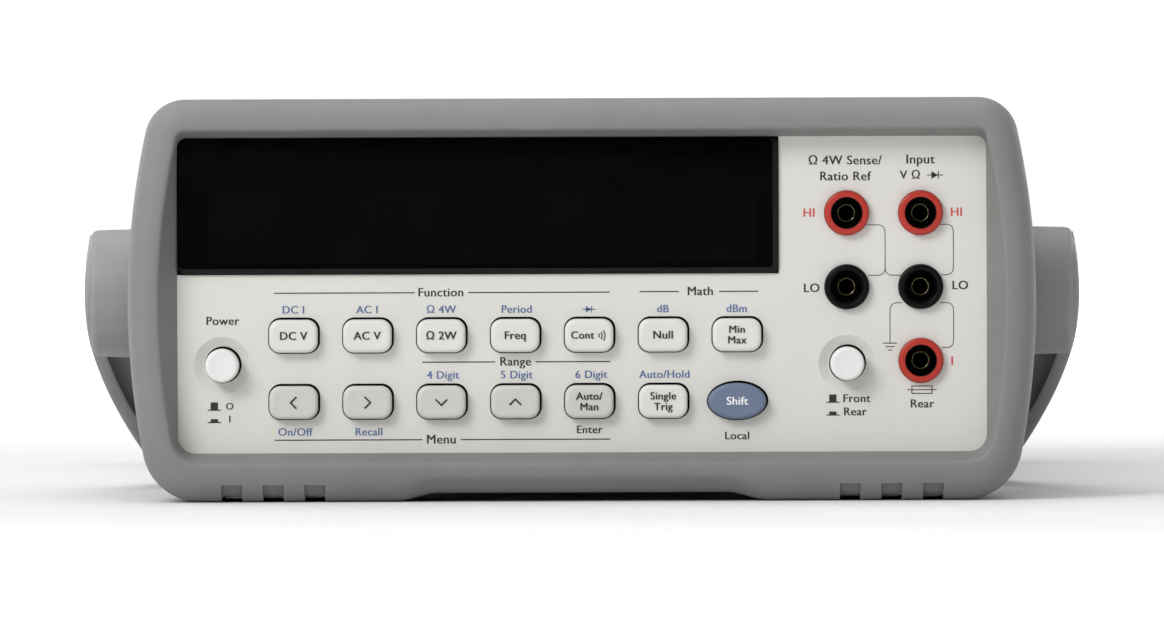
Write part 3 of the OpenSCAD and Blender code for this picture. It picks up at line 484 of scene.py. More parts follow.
bumper("front_bumper_rubber", PANEL_Y - FRONT_Y, FRONT_Y, 1, "front_bumper")
bumper("rear_bumper_rubber", REAR_Y - BACK_Y, REAR_Y, -1, "rear_bumper")

# ---------- handle ----------

STRAP_BOW_R = 82.7
STRAP_CX = HUB_X - STRAP_BOW_R
GRIP_LOW = box_mm("handle")[0][2]
STRAP_CORNER_R = 11.0
HUB_R = 16.6
STRAP_R = 15.9
# The strap's tip at the hub sinks between these two shares of its radius
TIP_START = 0.8
TIP_END = 0.97
TIP_SINK = 1.6
GRIP_FRONT = 84.0
GRIP_W = 24.0
GRIP_T = 7.0
RIM_W = 3.0
# The channel section: the rim's depth, the web's thickness and how much the outer face is crowned
ARM_RIM_DEPTH = 3.9
ARM_WEB_T = 2.3
GRIP_WEB_EXTRA = 0.9
ARM_CROWN = 0.5
FULL_SECTION_W = 14
GRIP_BLEND_H = 20
ARM_STEPS = 48
STRAP_CORNER_STEPS = 14
GRIP_STEPS = 10


def strap_path():
    """(x, z, inward x, inward z) along the right half of the handle's outer face, hub to middle."""
    inner_r = STRAP_BOW_R - STRAP_CORNER_R
    knee = math.degrees(math.asin((GRIP_LOW + STRAP_CORNER_R - PIVOT_Z) / inner_r))
    top = math.degrees(math.asin(TIP_END * STRAP_R / STRAP_BOW_R))
    out = []
    for k in range(ARM_STEPS + 1):
        t = k / ARM_STEPS
        a = math.radians(top + (knee - top) * (1 - (1 - t) ** 1.5))
        out.append((STRAP_CX + STRAP_BOW_R * math.cos(a), PIVOT_Z + STRAP_BOW_R * math.sin(a),
                    -math.cos(a), -math.sin(a)))
    cx = STRAP_CX + inner_r * math.cos(math.radians(knee))
    for k in range(1, STRAP_CORNER_STEPS + 1):
        a = math.radians(knee + (-90 - knee) * k / STRAP_CORNER_STEPS)
        out.append((cx + STRAP_CORNER_R * math.cos(a), GRIP_LOW + STRAP_CORNER_R * (1 + math.sin(a)),
                    -math.cos(a), -math.sin(a)))
    for k in range(1, GRIP_STEPS + 1):
        out.append((cx * (1 - k / GRIP_STEPS), GRIP_LOW, 0.0, 1.0))
    return out


def strap_edges(z):
    """The strap's front and rear Y, from the pivot, at a height relative to the pivot."""
    def line(point, side):
        reach = math.hypot(*point)
        a = math.atan2(point[1], point[0]) + side * math.asin(STRAP_R / reach)
        touch = (side * STRAP_R * math.sin(a), -side * STRAP_R * math.cos(a))
        return touch, point
    low = (GRIP_FRONT, GRIP_LOW - PIVOT_Z)
    high = (GRIP_FRONT + GRIP_W, GRIP_LOW + GRIP_T - PIVOT_Z)
    out = []
    for (touch, point), side in ((line(low, 1), -1), (line(high, -1), 1)):
        if z >= touch[1]:
            out.append(side * math.sqrt(max(0.0, STRAP_R ** 2 - z ** 2)))
        elif z <= point[1]:
            out.append(point[0])
        else:
            t = (touch[1] - z) / (touch[1] - point[1])
            out.append(touch[0] + (point[0] - touch[0]) * t)
    return out


def strap_section(width, grip, sink):
    """(distance from the front edge, depth) round the strap's channel section, sunk at its tip."""
    squeeze = min(1.0, width / FULL_SECTION_W)
    rim = (ARM_RIM_DEPTH + (GRIP_T - ARM_RIM_DEPTH) * grip) * squeeze ** 0.3
    web = ARM_WEB_T + GRIP_WEB_EXTRA * grip + sink
    half = [(0, 1.5), (0.12, 0.9), (0.45, 0.4), (1.0, 0.12), (1.8, 0.0)]
    rim_in = [(0, rim - 0.7), (0.25, rim - 0.2), (0.8, rim), (RIM_W - 0.9, rim), (RIM_W - 0.3, rim - 0.25),
              (RIM_W, rim - 0.8), (RIM_W + 0.15, web + 0.6), (RIM_W + 0.6, web + 0.1), (RIM_W + 1.3, web)]
    crown = ARM_CROWN * (1 - grip) + sink
    outer = [(d * squeeze, off + crown) for d, off in half]
    middle = [(width * f, crown * (2 * f - 1) ** 2) for f in (0.3, 0.4, 0.5, 0.6, 0.7)]
    outer += middle + [(width - d * squeeze, off + crown) for d, off in reversed(half)]
    inner = [(width - d * squeeze, off) for d, off in rim_in]
    inner += [(width * f, web) for f in (0.62, 0.5, 0.38)]
    inner += [(d * squeeze, off) for d, off in reversed(rim_in)]
    return outer + inner


def strap_rings():
    """Sections along the whole strap, from one hub round to the other."""
    rings = []
    for x, z, nx, nz in strap_path():
        front, rear = strap_edges(z - PIVOT_Z)
        grip = 1 - smoothstep(GRIP_LOW, GRIP_LOW + GRIP_BLEND_H, z)
        sink = TIP_SINK * smoothstep(TIP_START, TIP_END, (z - PIVOT_Z) / STRAP_R)
        rings.append([(x + nx * off, PIVOT_Y + front + d, z + nz * off)
                      for d, off in strap_section(rear - front, grip, sink)])
    left = [[(-x, y, z) for x, y, z in ring] for ring in reversed(rings[:-1])]
    return rings + left


RIB_CLEARANCE = 1.5
RIB_HALF_T = 1.6
RIB_PLACE = 0.45
RIB_INTO_STRAP = 1.2
RIB_TOP = 9.0
RIB_LEAST_W = 0.4
HUB_GAP = 1.1
HUB_END_GAP = 1.85
HUB_STEPS = 96


def hub_rib(side):
    """The rib under the hub: it fills the space between the strap and the line of the bumper's side."""
    inner_x = box_mm("front_bumper")[1][0] + RIB_CLEARANCE
    rings = []
    for x, z, nx, nz in strap_path():
        outer_x = x + nx * RIB_INTO_STRAP
        if z > PIVOT_Z - RIB_TOP or outer_x < inner_x + RIB_LEAST_W:
            continue
        front, rear = strap_edges(z - PIVOT_Z)
        y = PIVOT_Y + front + (rear - front) * RIB_PLACE
        corners = [(inner_x, -RIB_HALF_T), (outer_x, -RIB_HALF_T),
                   (outer_x, RIB_HALF_T), (inner_x, RIB_HALF_T)]
        rings.append([(side * a, y + side * b, z + nz * RIB_INTO_STRAP) for a, b in corners])
    return capped(rings)


def hub_boss(side):
    """The tapered boss between the case's side and the arm, turned about the pivot's axis."""
    start = box_mm("cover")[1][0] + HUB_GAP
    end = HUB_X - HUB_END_GAP
    bore = [(8.06, start + 14.8), (8.06, start + 0.3), (8.4, start)]
    foot = [(16.6, start), (17.0, start + 0.15), (17.1, start + 0.6)]
    round_end = [(HUB_R, end - 2.0), (HUB_R - 0.16, end - 1.1), (HUB_R - 0.5, end - 0.5),
                 (HUB_R - 1.0, end - 0.14), (HUB_R - 1.7, end)]
    rings = [[(side * x, PIVOT_Y + r * math.cos(t), PIVOT_Z + r * math.sin(t)) for t in turns(HUB_STEPS)]
             for r, x in bore + foot + round_end]
    return capped(rings)


handle_shape = merged([capped(strap_rings()), hub_boss(1), hub_boss(-1), hub_rib(1), hub_rib(-1)])
handle = make("carrying_handle_strap", handle_shape, [HANDLE], "carrying_handle")
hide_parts("handle")

# ---------- keys and buttons ----------

OVAL_STEPS = 48


def rounded_rectangle(w, h, r, n=8):
    """Outline of a rectangle with round corners, centred, counter-clockwise."""
    out = []
    for cx, cz, a in ((1, -1, -90), (1, 1, 0), (-1, 1, 90), (-1, -1, 180)):
        out += arc(cx * (w / 2 - r), cz * (h / 2 - r), r, a, a + 90, n)
    return out


def oval(w, h):
    """Outline of an oval, centred, counter-clockwise."""
    return [(w / 2 * math.cos(t), h / 2 * math.sin(t)) for t in turns(OVAL_STEPS)]


def centre(node):
    """The middle of a CAD node seen from the front, as (x, z)."""
    low, high = box_mm(node)
    return (low[0] + high[0]) / 2, (low[2] + high[2]) / 2


# What each key says: lines of lettering parted by |, or the corners of an arrow
KEYS = {
    "key_dc_volts": "DC V", "key_ac_volts": "AC V", "key_ohms": "Ω 2W", "key_frequency": "Freq",
    "key_continuity": "Cont", "key_null": "Null", "key_min_max": "Min|Max",
    "key_left": [(0.75, 1.5), (-0.75, 0), (0.75, -1.5)],
    "key_right": [(-0.75, 1.5), (0.75, 0), (-0.75, -1.5)],
    "key_down": [(-1.5, 0.75), (0, -0.75), (1.5, 0.75)],
    "key_up": [(-1.5, -0.75), (0, 0.75), (1.5, -0.75)],
    "key_range": "Auto/|Man", "key_trigger": "Single|Trig", "key_shift": "Shift",
}
ARROW_KEYS = ("key_left", "key_right", "key_down", "key_up")
GREY_KEYS = ARROW_KEYS + ("key_range",)
BUTTONS = {"power_button": "power_push", "input_button": "input_push"}

# Each line of lettering is laid down twice, shifted to both sides, so that it looks bold
BOLD_SHIFT = 0.07
FONT_LINE = 2.75
LETTER_SPACING = 1.06
INK_HALF = 0.025
INK_LIFT = 0.02
SECOND_LIFT = 0.012
MITRE_LEAST = 0.3


def text_mesh(words, size):
    """Flat raised lettering as vertices and faces in the X-Z plane, centred, facing -Y."""
    curve = bpy.data.curves.new("lettering", "FONT")
    curve.body = words
    curve.size = size
    curve.align_x = "CENTER"
    curve.align_y = "CENTER"
    curve.extrude = INK_HALF
    curve.resolution_u = 4
    curve.space_character = LETTER_SPACING
    holder = add_object("lettering", curve)
    bpy.context.view_layer.update()
    graph = bpy.context.evaluated_depsgraph_get()
    mesh = bpy.data.meshes.new_from_object(holder.evaluated_get(graph))
    verts = [(v.co.x, -v.co.z, v.co.y) for v in mesh.vertices]
    faces = [tuple(p.vertices) for p in mesh.polygons]
    bpy.data.objects.remove(holder)
    bpy.data.curves.remove(curve)
    bpy.data.meshes.remove(mesh)
    return verts, faces


def moved(part, x, y, z):
    """A (vertices, faces) pair moved by x, y, z."""
    verts, faces = part
    return [(x + a, y + b, z + c) for a, b, c in verts], faces


def words_at(words, x, z, y, size):
    """Lines of lettering parted by |, centred on x, z and standing on the surface at y."""
    lines = words.split("|")
    out = []
    for k, line in enumerate(lines):
        dz = ((len(lines) - 1) / 2 - k) * FONT_LINE
        for shift, lift in ((-BOLD_SHIFT, INK_LIFT), (BOLD_SHIFT, INK_LIFT + SECOND_LIFT)):
            out.append(moved(text_mesh(line, size), x + shift, y - lift, z + dz))
    return out


def stroke(points, y, width, closed=False):
    """A printed line of constant width through (x, z) points, standing on the surface at y."""
    count = len(points)
    left, right = [], []
    for k, point in enumerate(points):
        here = Vector(point)
        into = here - Vector(points[k - 1]) if k or closed else Vector(points[k + 1]) - here
        out_of = Vector(points[(k + 1) % count]) - here if k < count - 1 or closed else into
        into, out_of = into.normalized(), out_of.normalized()
        across = Vector((-into.y - out_of.y, into.x + out_of.x)).normalized()
        reach = width / 2 / max(MITRE_LEAST, across.dot(Vector((-into.y, into.x))))
        left.append(tuple(here + across * reach))
        right.append(tuple(here - across * reach))
    verts = []
    for side in (-INK_HALF, INK_HALF):
        verts += [(x, y - INK_LIFT + side, z) for x, z in left + right]
    faces = []
    for k in range(count if closed else count - 1):
        n = (k + 1) % count
        a, b, c, d = k, n, count + n, count + k
        e, f, g, h = (v + 2 * count for v in (a, b, c, d))
        faces += [(a, b, c, d), (h, g, f, e), (a, e, f, b), (d, c, g, h)]
    if not closed:
        for k in (0, count - 1):
            faces.append((k, count + k, 3 * count + k, 2 * count + k))
    return verts, faces


def solid(points, y):
    """A printed filled shape with an (x, z) outline."""
    return plate(points, (y - INK_LIFT - INK_HALF, y - INK_LIFT + INK_HALF))


def ink(name, parts, mat, body):
    """One piece of lettering from several printed shapes."""
    make(name, merged(parts), [mat], body, smooth=False)


# Distance in from the side and down from the top, for a moulded cap's rounded edge and its dish
CAP_EDGE = [(0, 2.2), (0, 1.0), (0.06, 0.62), (0.2, 0.34), (0.42, 0.15), (0.72, 0.04), (1.1, 0.0)]
CAP_DISH = [(1.6, 0.02), (2.4, 0.06), (3.2, 0.09)]
CAP_DEPTH = 6.3
CAP_CORNER_R = 2.8
CORNER_SHRINK = 0.75
LEAST_CORNER_R = 0.4
# The flange and the stem behind the panel, as depths from its face
FLANGE_GROWTH = 1.0
FLANGE_CORNER_R = 3.5
FLANGE_FRONT = 3.3
FLANGE_BACK = 4.4
STEM_FRONT = 4.3
STEM_R = 2.5
STEM_STEPS = 32

KEY_TEXT = 2.95
SMALL_KEY_TEXT = 2.75
ARROW_STROKE = 0.42
# The continuity key's word stands left of its middle, and the sound sign's arcs right of it
WORD_SHIFT = 1.7
SOUND_SHIFT = 1.6
SOUND_STROKE = 0.28
SOUND_ARCS = (1.0, 1.75, 2.5)
SOUND_HALF_ANGLE = 32


def key_size(name):
    """Width and height of a key's cap, without the flange behind the panel."""
    low, high = box_mm(name)
    return high[0] - low[0] - 2 * FLANGE_GROWTH, high[2] - low[2] - 2 * FLANGE_GROWTH


def key_outline(name, growth, corner):
    """Outline of a key's cap, grown all round; the shift key is an oval and has no corners."""
    width, height = key_size(name)
    if name == "key_shift":
        return oval(width + 2 * growth, height + 2 * growth)
    return rounded_rectangle(width + 2 * growth, height + 2 * growth, corner)


def cap_ring(name, inset, y):
    """One ring round a key's cap at depth y, in from its side by inset."""
    x, z = centre(name)
    corner = max(CAP_CORNER_R - inset * CORNER_SHRINK, LEAST_CORNER_R)
    return [(x + a, y, z + b) for a, b in key_outline(name, -inset, corner)]


def key_cap(name):
    """A key's cap: straight sides, a rounded edge and a faintly dished top."""
    face = box_mm(name)[0][1]
    rings = [cap_ring(name, 0, face + CAP_DEPTH)]
    rings += [cap_ring(name, inset, face + down) for inset, down in CAP_EDGE + CAP_DISH]
    return capped(rings)


def key_flange(name):
    """The flange that keeps a key behind the panel."""
    x, z = centre(name)
    width, height = key_size(name)
    edge = rounded_rectangle(width + 2 * FLANGE_GROWTH, height + 2 * FLANGE_GROWTH, FLANGE_CORNER_R)
    return plate([(x + a, z + b) for a, b in edge], (PANEL_Y + FLANGE_FRONT, PANEL_Y + FLANGE_BACK))


def key_stem(name):
    """The stem from a key's flange to the mat."""
    front = PANEL_Y + STEM_FRONT
    back = box_mm(name)[1][1]
    return lathe([(0, front), (STEM_R, front), (STEM_R, back), (0, back)], *centre(name), STEM_STEPS)


def key_legend(name):
    """What is printed on one key."""
    x, z = centre(name)
    y = box_mm(name)[0][1]
    if name in ARROW_KEYS:
        return [stroke([(x + a, z + b) for a, b in KEYS[name]], y, ARROW_STROKE)]
    if name == "key_continuity":
        parts = words_at(KEYS[name], x - WORD_SHIFT, z, y, SMALL_KEY_TEXT)
        for r in SOUND_ARCS:
            wave = arc(0, 0, r, -SOUND_HALF_ANGLE, SOUND_HALF_ANGLE, 6)
            parts.append(stroke([(x + SOUND_SHIFT + a, z + b) for a, b in wave], y, SOUND_STROKE))
        return parts
    size = SMALL_KEY_TEXT if "|" in KEYS[name] else KEY_TEXT
    return words_at(KEYS[name], x, z, y, size)


def key_look(name):
    """A key's material, its slot and the material of its legend."""
    if name == "key_shift":
        return KEY_BLUE, "key_blue", INK_WHITE
    if name in GREY_KEYS:
        return KEY_GREY, "key_grey", INK_BLACK
    return KEY_LIGHT, "key_light", INK_BLACK


for name in KEYS:
    mat, slot, ink_mat = key_look(name)
    body = name + "_cap"
    shape = merged([key_cap(name), key_flange(name), key_stem(name)])
    piece = make(name + "_moulding", shape, [mat], body)
    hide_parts(name)
    ink(name + "_legend", key_legend(name), ink_mat, body)

# Painted shade in the gap round each key and button: a dark ring, grown more above and to the right
GAP_SHADE_INNER = 0.04
GAP_REACH = 0.4
GAP_SHIFT = 0.18
GAP_SHADE_PROUD = 0.03
GAP_SHADE_BACK = 2.6
BUTTON_DISH = 1.4


def gap_shade_ring(inner, outer, x, z, depth=0.0):
    """Painted shade in a hole's gap: a dark ring that laps the panel a little more above and to the right,
    where the gap's shade shows widest.
    """
    ring_in = [(x + a, z + b) for a, b in inner]
    ring_out = [(x + a + GAP_SHIFT, z + b + GAP_SHIFT) for a, b in outer]
    front = PANEL_Y + depth - GAP_SHADE_PROUD
    back = PANEL_Y + GAP_SHADE_BACK
    levels = ((ring_in, back), (ring_in, front), (ring_out, front), (ring_out, back))
    return loft([[(a, y, b) for a, b in ring] for ring, y in levels], closed=True)


# Dark rings of painted shade in the key and button gaps
gap_shade_rings = []
for name in KEYS:
    inner = key_outline(name, GAP_SHADE_INNER, CAP_CORNER_R)
    outer = key_outline(name, GAP_REACH, CAP_CORNER_R + GAP_REACH)
    gap_shade_rings.append(gap_shade_ring(inner, outer, *centre(name)))
for name in BUTTONS:
    low, high = box_mm(name)
    across = high[0] - low[0]
    inner, outer = (oval(across + 2 * gap, across + 2 * gap) for gap in (GAP_SHADE_INNER, GAP_REACH))
    gap_shade_rings.append(gap_shade_ring(inner, outer, *centre(name), BUTTON_DISH))
make("key_hole_painted_shade", merged(gap_shade_rings), [GAP_SHADE], "case")


def button_shape(name):
    """A round push button: a dished face, a rounded edge and a straight side."""
    low, high = box_mm(name)
    r = (high[0] - low[0]) / 2
    top = low[1]
    dish = [(0, top + 0.22), (r * 0.4, top + 0.17), (r * 0.7, top + 0.05)]
    edge = [(r - 0.9, top), (r - 0.5, top + 0.06), (r - 0.2, top + 0.22), (r - 0.05, top + 0.5)]
    side = [(r, top + 0.9), (r, high[1]), (0, high[1])]
    return lathe(dish + edge + side, *centre(name))


for name, body in BUTTONS.items():
    piece = make(name + "_moulding", button_shape(name), [WHITE], body)
    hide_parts(name)

# ---------- jacks ----------

# Column, row and colour of each jack in a set
JACKS = [(0, 0, "red"), (1, 0, "red"), (0, 1, "black"), (1, 1, "black"), (1, 2, "red")]
JACK_X = 68.3
JACK_Z = 74.0
JACK_PITCH = 19.05
# (radius, depth behind the panel's face) round the turned parts; a red body ends inside its collar
BLACK_FRONT = [(5.75, 7.2), (5.75, -1.2), (5.68, -1.6), (5.45, -1.88), (5.15, -2.0), (4.6, -2.0),
               (4.32, -1.85), (4.2, -1.5), (4.1, -0.2)]
RED_FRONT = [(4.35, 7.2), (4.35, -1.2), (4.28, -1.5), (4.1, -1.68), (3.95, -1.6)]
BODY_INSIDE = [(3.72, 0.2), (3.7, 0.8), (3.7, 22.9), (2.4, 23.0), (2.4, 28.9), (2.5, 29.0)]
BODY_OUTSIDE = [(5.4, 28.0), (5.75, 27.7), (5.75, 7.2)]
COLLAR = [(4.4, 6.9), (4.4, -1.7), (4.15, -1.78), (4.12, -1.9), (4.2, -1.98), (4.4, -2.0), (5.2, -2.0),
          (5.45, -1.93), (5.66, -1.68), (5.75, -1.25), (5.75, 6.9), (4.4, 6.9)]
CONTACT = [(0, 25.0), (2.0, 25.0), (2.0, 5.25), (2.08, 5.05), (2.2, 5.0), (2.31, 5.08), (2.35, 5.3),
           (2.35, 27.0), (1.0, 27.02), (1.0, 31.8), (0.8, 32.0), (0, 32.0)]
MOUTH_DEPTH = 5.1
MOUTH_RIM = 0.1
BORE_REACH = 2.05


def jack_at(i):
    """Where the axis of a set's jack is, as (x, z)."""
    return JACK_X + JACKS[i][0] * JACK_PITCH, JACK_Z - JACKS[i][1] * JACK_PITCH


def paint_bore_shade(piece, mouth_y):
    """Gives the inside of every contact a dark painted shade; only the mouth's rim stays bright."""
    for poly in piece.data.polygons:
        x, y, z = (c / MM for c in poly.center)
        radius = min(math.hypot(x - jx, z - jz) for jx, jz in map(jack_at, range(len(JACKS))))
        if radius < BORE_REACH and abs(y - mouth_y) > MOUTH_RIM:
            poly.material_index = 1


def jack_pieces(side, face_y, turn):
    """Bodies, collars and contacts of one set of five jacks; turn is -1 at the rear."""
    def turned(profile, i):
        return lathe([(r, face_y + turn * depth) for r, depth in profile], *jack_at(i))
    bodies, collars, contacts = [], [], []
    for i, (_, _, colour) in enumerate(JACKS):
        front = BLACK_FRONT if colour == "black" else RED_FRONT
        bodies.append(turned(front + BODY_INSIDE + BODY_OUTSIDE, i))
        if colour == "red":
            collars.append(turned(COLLAR, i))
        contacts.append(turned(CONTACT, i))
    for kind, parts, mat, slot in (("bodies", bodies, BLACK, "black_plastic"),
                                   ("collars", collars, RED, "red_plastic"),
                                   ("contacts", contacts, BRASS, "brass")):
        piece = make(f"{side}_jack_{kind}_turned", merged(parts), [mat, BORE_SHADE], "case")
        # The contacts' bores are coloured with the painted shade
        if kind == "contacts":
            paint_bore_shade(piece, face_y + turn * MOUTH_DEPTH)
        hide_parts(f"{side}_jack_{kind}")


jack_pieces("front", PANEL_Y, 1)
jack_pieces("rear", BACK_Y, -1)

# ---------- display window ----------

WIN_BOX_LOW, WIN_BOX_HIGH = box_mm("display_window")
WIN_FRONT = WIN_BOX_LOW[1]
WIN_LEFT = -OPENING_HALF_W + 0.35
WIN_RIGHT = WIN_BOX_HIGH[0]
WIN_LOW = WIN_BOX_LOW[2]
WIN_TOP = OPENING_HIGH - 0.4
PANE_BACK = PANEL_Y + 0.1
# Distance in, depth behind the pane's face and corner radius of the rings round its sloped edge
PANE_EDGE = [(0, 0.55, 1.5), (0.12, 0.42, 1.45), (1.25, 0.06, 1.2), (1.45, 0.0, 1.1)]
# The left and top edges slope in by this share of the others
NARROW_EDGE = 0.15
WIN_FLANGE_CORNER_R = 0.8
# Left, low, right and high ends of the display's area, and its corner radius
DISPLAY_AREA = (-96.0, 61.4, 44.8, 79.9, 0.6)
DISPLAY_HALF_T = 0.02


def window_outline(left, low, right, high, r):
    """Outline of a rectangle with round corners between four ends."""
    cx, cz = (left + right) / 2, (low + high) / 2
    return [(cx + a, cz + b) for a, b in rounded_rectangle(right - left, high - low, r, 6)]


def pane_shape():
    """The pane with its sloped edge along the bottom and right sides."""
    rings = []
    for slope, y, r in [(0, PANE_BACK, 1.5)] + [(slope, WIN_FRONT + down, r) for slope, down, r in PANE_EDGE]:
        outline = window_outline(WIN_LEFT + NARROW_EDGE * slope, WIN_LOW + slope, WIN_RIGHT - slope,
                                 WIN_TOP - NARROW_EDGE * slope, r)
        rings.append([(a, y, b) for a, b in outline])
    return capped(rings)


def window_pieces():
    """The dark pane, and the display's area on its face."""
    flange = window_outline(WIN_BOX_LOW[0], WIN_LOW, WIN_RIGHT, WIN_BOX_HIGH[2], WIN_FLANGE_CORNER_R)
    shape = merged([pane_shape(), plate(flange, (PANE_BACK, WIN_BOX_HIGH[1]))])
    piece = make("window_pane", shape, [WINDOW, WINDOW_EDGE], "case")
    for poly in piece.data.polygons:
        normal = poly.normal
        if normal.y < -0.5 and (normal.x > 0.1 or normal.z < -0.1):
            poly.material_index = 1
    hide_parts("display_window")
    area = plate(window_outline(*DISPLAY_AREA), (WIN_FRONT - DISPLAY_HALF_T, WIN_FRONT + DISPLAY_HALF_T))
    make("window_display_area", area, [DISPLAY], "case")


window_pieces()

# ---------- panel lettering ----------

FACE = PANEL_Y
UPPER_BLUE = 49.4
LOWER_BLUE = 32.5
LOWEST_BLUE = 17.9
BLUE_TEXT = 2.85
FIRST_COL = -74.4
COLS = [FIRST_COL + JACK_PITCH * k for k in range(7)]
# Widths of the printed lines
RULE_STROKE = 0.29
BEND_STROKE = 0.2
BAR_STROKE = 0.26
LEAD_STROKE = 0.24
BASE_STROKE = 0.28
WIRE_STROKE = 0.22
BEND_R = 2.0
BEND_STEPS = 6


def rule(x0, x1, z):
    """A level line across the panel."""
    return stroke([(x0, z), (x1, z)], FACE, RULE_STROKE)


def bend(points):
    """A thin line through corner points, each corner rounded."""
    out = [points[0]]
    for before, corner, after in zip(points, points[1:], points[2:]):
        a = Vector(before) - Vector(corner)
        b = Vector(after) - Vector(corner)
        a, b = a.normalized() * BEND_R, b.normalized() * BEND_R
        for k in range(BEND_STEPS + 1):
            t = k / BEND_STEPS
            p = Vector(corner) + a * (1 - t) ** 2 + b * t ** 2
            out.append((p.x, p.y))
    out.append(points[-1])
    return stroke(out, FACE, BEND_STROKE)


def diode(x, z, s):
    """The diode symbol of half height s: a filled triangle against a bar, on a line."""
    return [solid([(x - s, z + s), (x - s, z - s), (x + 0.7 * s, z)], FACE),
            stroke([(x + 0.75 * s, z + s), (x + 0.75 * s, z - s)], FACE, BAR_STROKE),
            stroke([(x - 2.1 * s, z), (x + 2.0 * s, z)], FACE, LEAD_STROKE)]


def button_icon(x, z, height):
    """A push button drawn from the side, standing on a line."""
    base = z - 0.8
    top = base + height
    return [solid([(x - 0.95, base), (x + 0.95, base), (x + 0.95, top), (x - 0.95, top)], FACE),
            stroke([(x - 1.7, z - 0.9), (x + 1.7, z - 0.9)], FACE, BASE_STROKE)]


# Words, x, z and size
BLACK_WORDS = [
    ("Power", -92.7, 46.6, 3.1), ("Function", -36.4, 53.8, 3.2), ("Math", 30.5, 53.9, 3.2),
    ("Range", -17.2, 35.9, 3.2), ("Menu", -36.4, 15.9, 3.3), ("Enter", 1.8, 18.3, 2.9),
    ("Local", 39.9, 16.6, 2.9), ("Ω 4W Sense/", 67.9, 87.5, 3.3), ("Ratio Ref", 67.9, 83.4, 3.3),
    ("Input", 87.3, 87.7, 3.4), ("V Ω", 84.7, 83.7, 3.1), ("LO", 59.2, 54.6, 3.2),
    ("LO", 97.5, 55.2, 3.2), ("Rear", 87.6, 24.7, 3.1), ("Front", 70.7, 26.1, 3.0),
    ("Rear", 70.3, 22.7, 3.0), ("O", -90.9, 24.6, 2.5), ("I", -90.9, 21.3, 2.5),
]
RED_WORDS = [("HI", 58.6, 74.0, 3.2), ("HI", 96.6, 74.1, 3.2), ("I", 95.4, 35.7, 3.2)]
# Words, x and z
BLUE_WORDS = [
    ("DC I", COLS[0], UPPER_BLUE), ("AC I", COLS[1], UPPER_BLUE), ("Ω 4W", COLS[2], UPPER_BLUE),
    ("Period", COLS[3] + 0.4, UPPER_BLUE), ("dB", COLS[5], UPPER_BLUE), ("dBm", COLS[6], UPPER_BLUE),
    ("4 Digit", COLS[2] + 0.4, LOWER_BLUE), ("5 Digit", COLS[3] + 0.3, LOWER_BLUE),
    ("6 Digit", COLS[4] + 0.5, LOWER_BLUE), ("Auto/Hold", COLS[5] + 0.4, LOWER_BLUE),
    ("On/Off", COLS[0] + 0.3, LOWEST_BLUE), ("Recall", COLS[1] + 0.3, LOWEST_BLUE),
]
# Left end, right end and z of the lines beside the group names
RULES = [
    (-79.4, -43.1, 53.8), (-29.3, 7.2, 53.8), (14.9, 25.0, 53.9), (35.4, 45.5, 53.9),
    (-41.2, -22.4, 35.9), (-12.0, 7.2, 35.9), (-79.4, -41.3, 15.9), (-31.4, 7.2, 15.9),
]
# Corners of the thin lines that join the jacks
BRACKETS = [
    [(72.9, 70.9), (78.2, 70.9), (78.2, 57.9), (73.8, 57.9)],
    [(78.2, 61.4), (78.2, 57.9), (82.3, 57.9)],
    [(92.2, 71.0), (95.8, 71.0), (95.8, 58.0), (92.6, 58.0)],
    [(82.5, 50.8), (79.4, 50.8), (79.4, 40.4)],
    [(92.3, 50.8), (95.8, 50.8), (95.8, 39.2), (92.8, 39.2)],
]
# Half width and z of the earth sign's bars
EARTH_X = 79.4
EARTH_BARS = [(1.8, 40.4), (1.2, 39.5), (0.6, 38.6)]
FUSE_SIGN = [(85.0, 27.4), (90.2, 27.4), (90.2, 29.3), (85.0, 29.3)]
FUSE_WIRE = [(83.8, 28.35), (91.4, 28.35)]
# X, z and how far out the drawn button stands
BUTTON_ICONS = [(-94.9, 24.6, 1.9), (64.6, 26.1, 1.9), (-94.9, 21.4, 0.8), (64.6, 22.8, 0.8)]

black = []
for words, x, z, size in BLACK_WORDS:
    black += words_at(words, x, z, FACE, size)
black += [rule(*ends) for ends in RULES]
black += [bend(points) for points in BRACKETS]
black += diode(91.2, 83.7, 1.0)
for half, z in EARTH_BARS:
    black.append(stroke([(EARTH_X - half, z), (EARTH_X + half, z)], FACE, LEAD_STROKE))
black += [stroke(FUSE_SIGN, FACE, LEAD_STROKE, closed=True), stroke(FUSE_WIRE, FACE, WIRE_STROKE)]
for x, z, height in BUTTON_ICONS:
    black += button_icon(x, z, height)
ink("panel_legend_black", black, INK_BLACK, "case")

blue = []
for words, x, z in BLUE_WORDS:
    blue += words_at(words, x, z, FACE, BLUE_TEXT)
blue += diode(COLS[4], UPPER_BLUE, 0.85)
ink("panel_legend_blue", blue, INK_BLUE, "case")

red = []
for words, x, z, size in RED_WORDS:
    red += words_at(words, x, z, FACE, size)
ink("panel_legend_red", red, INK_RED, "case")

# ---------- finishes of the CAD nodes that stay ----------

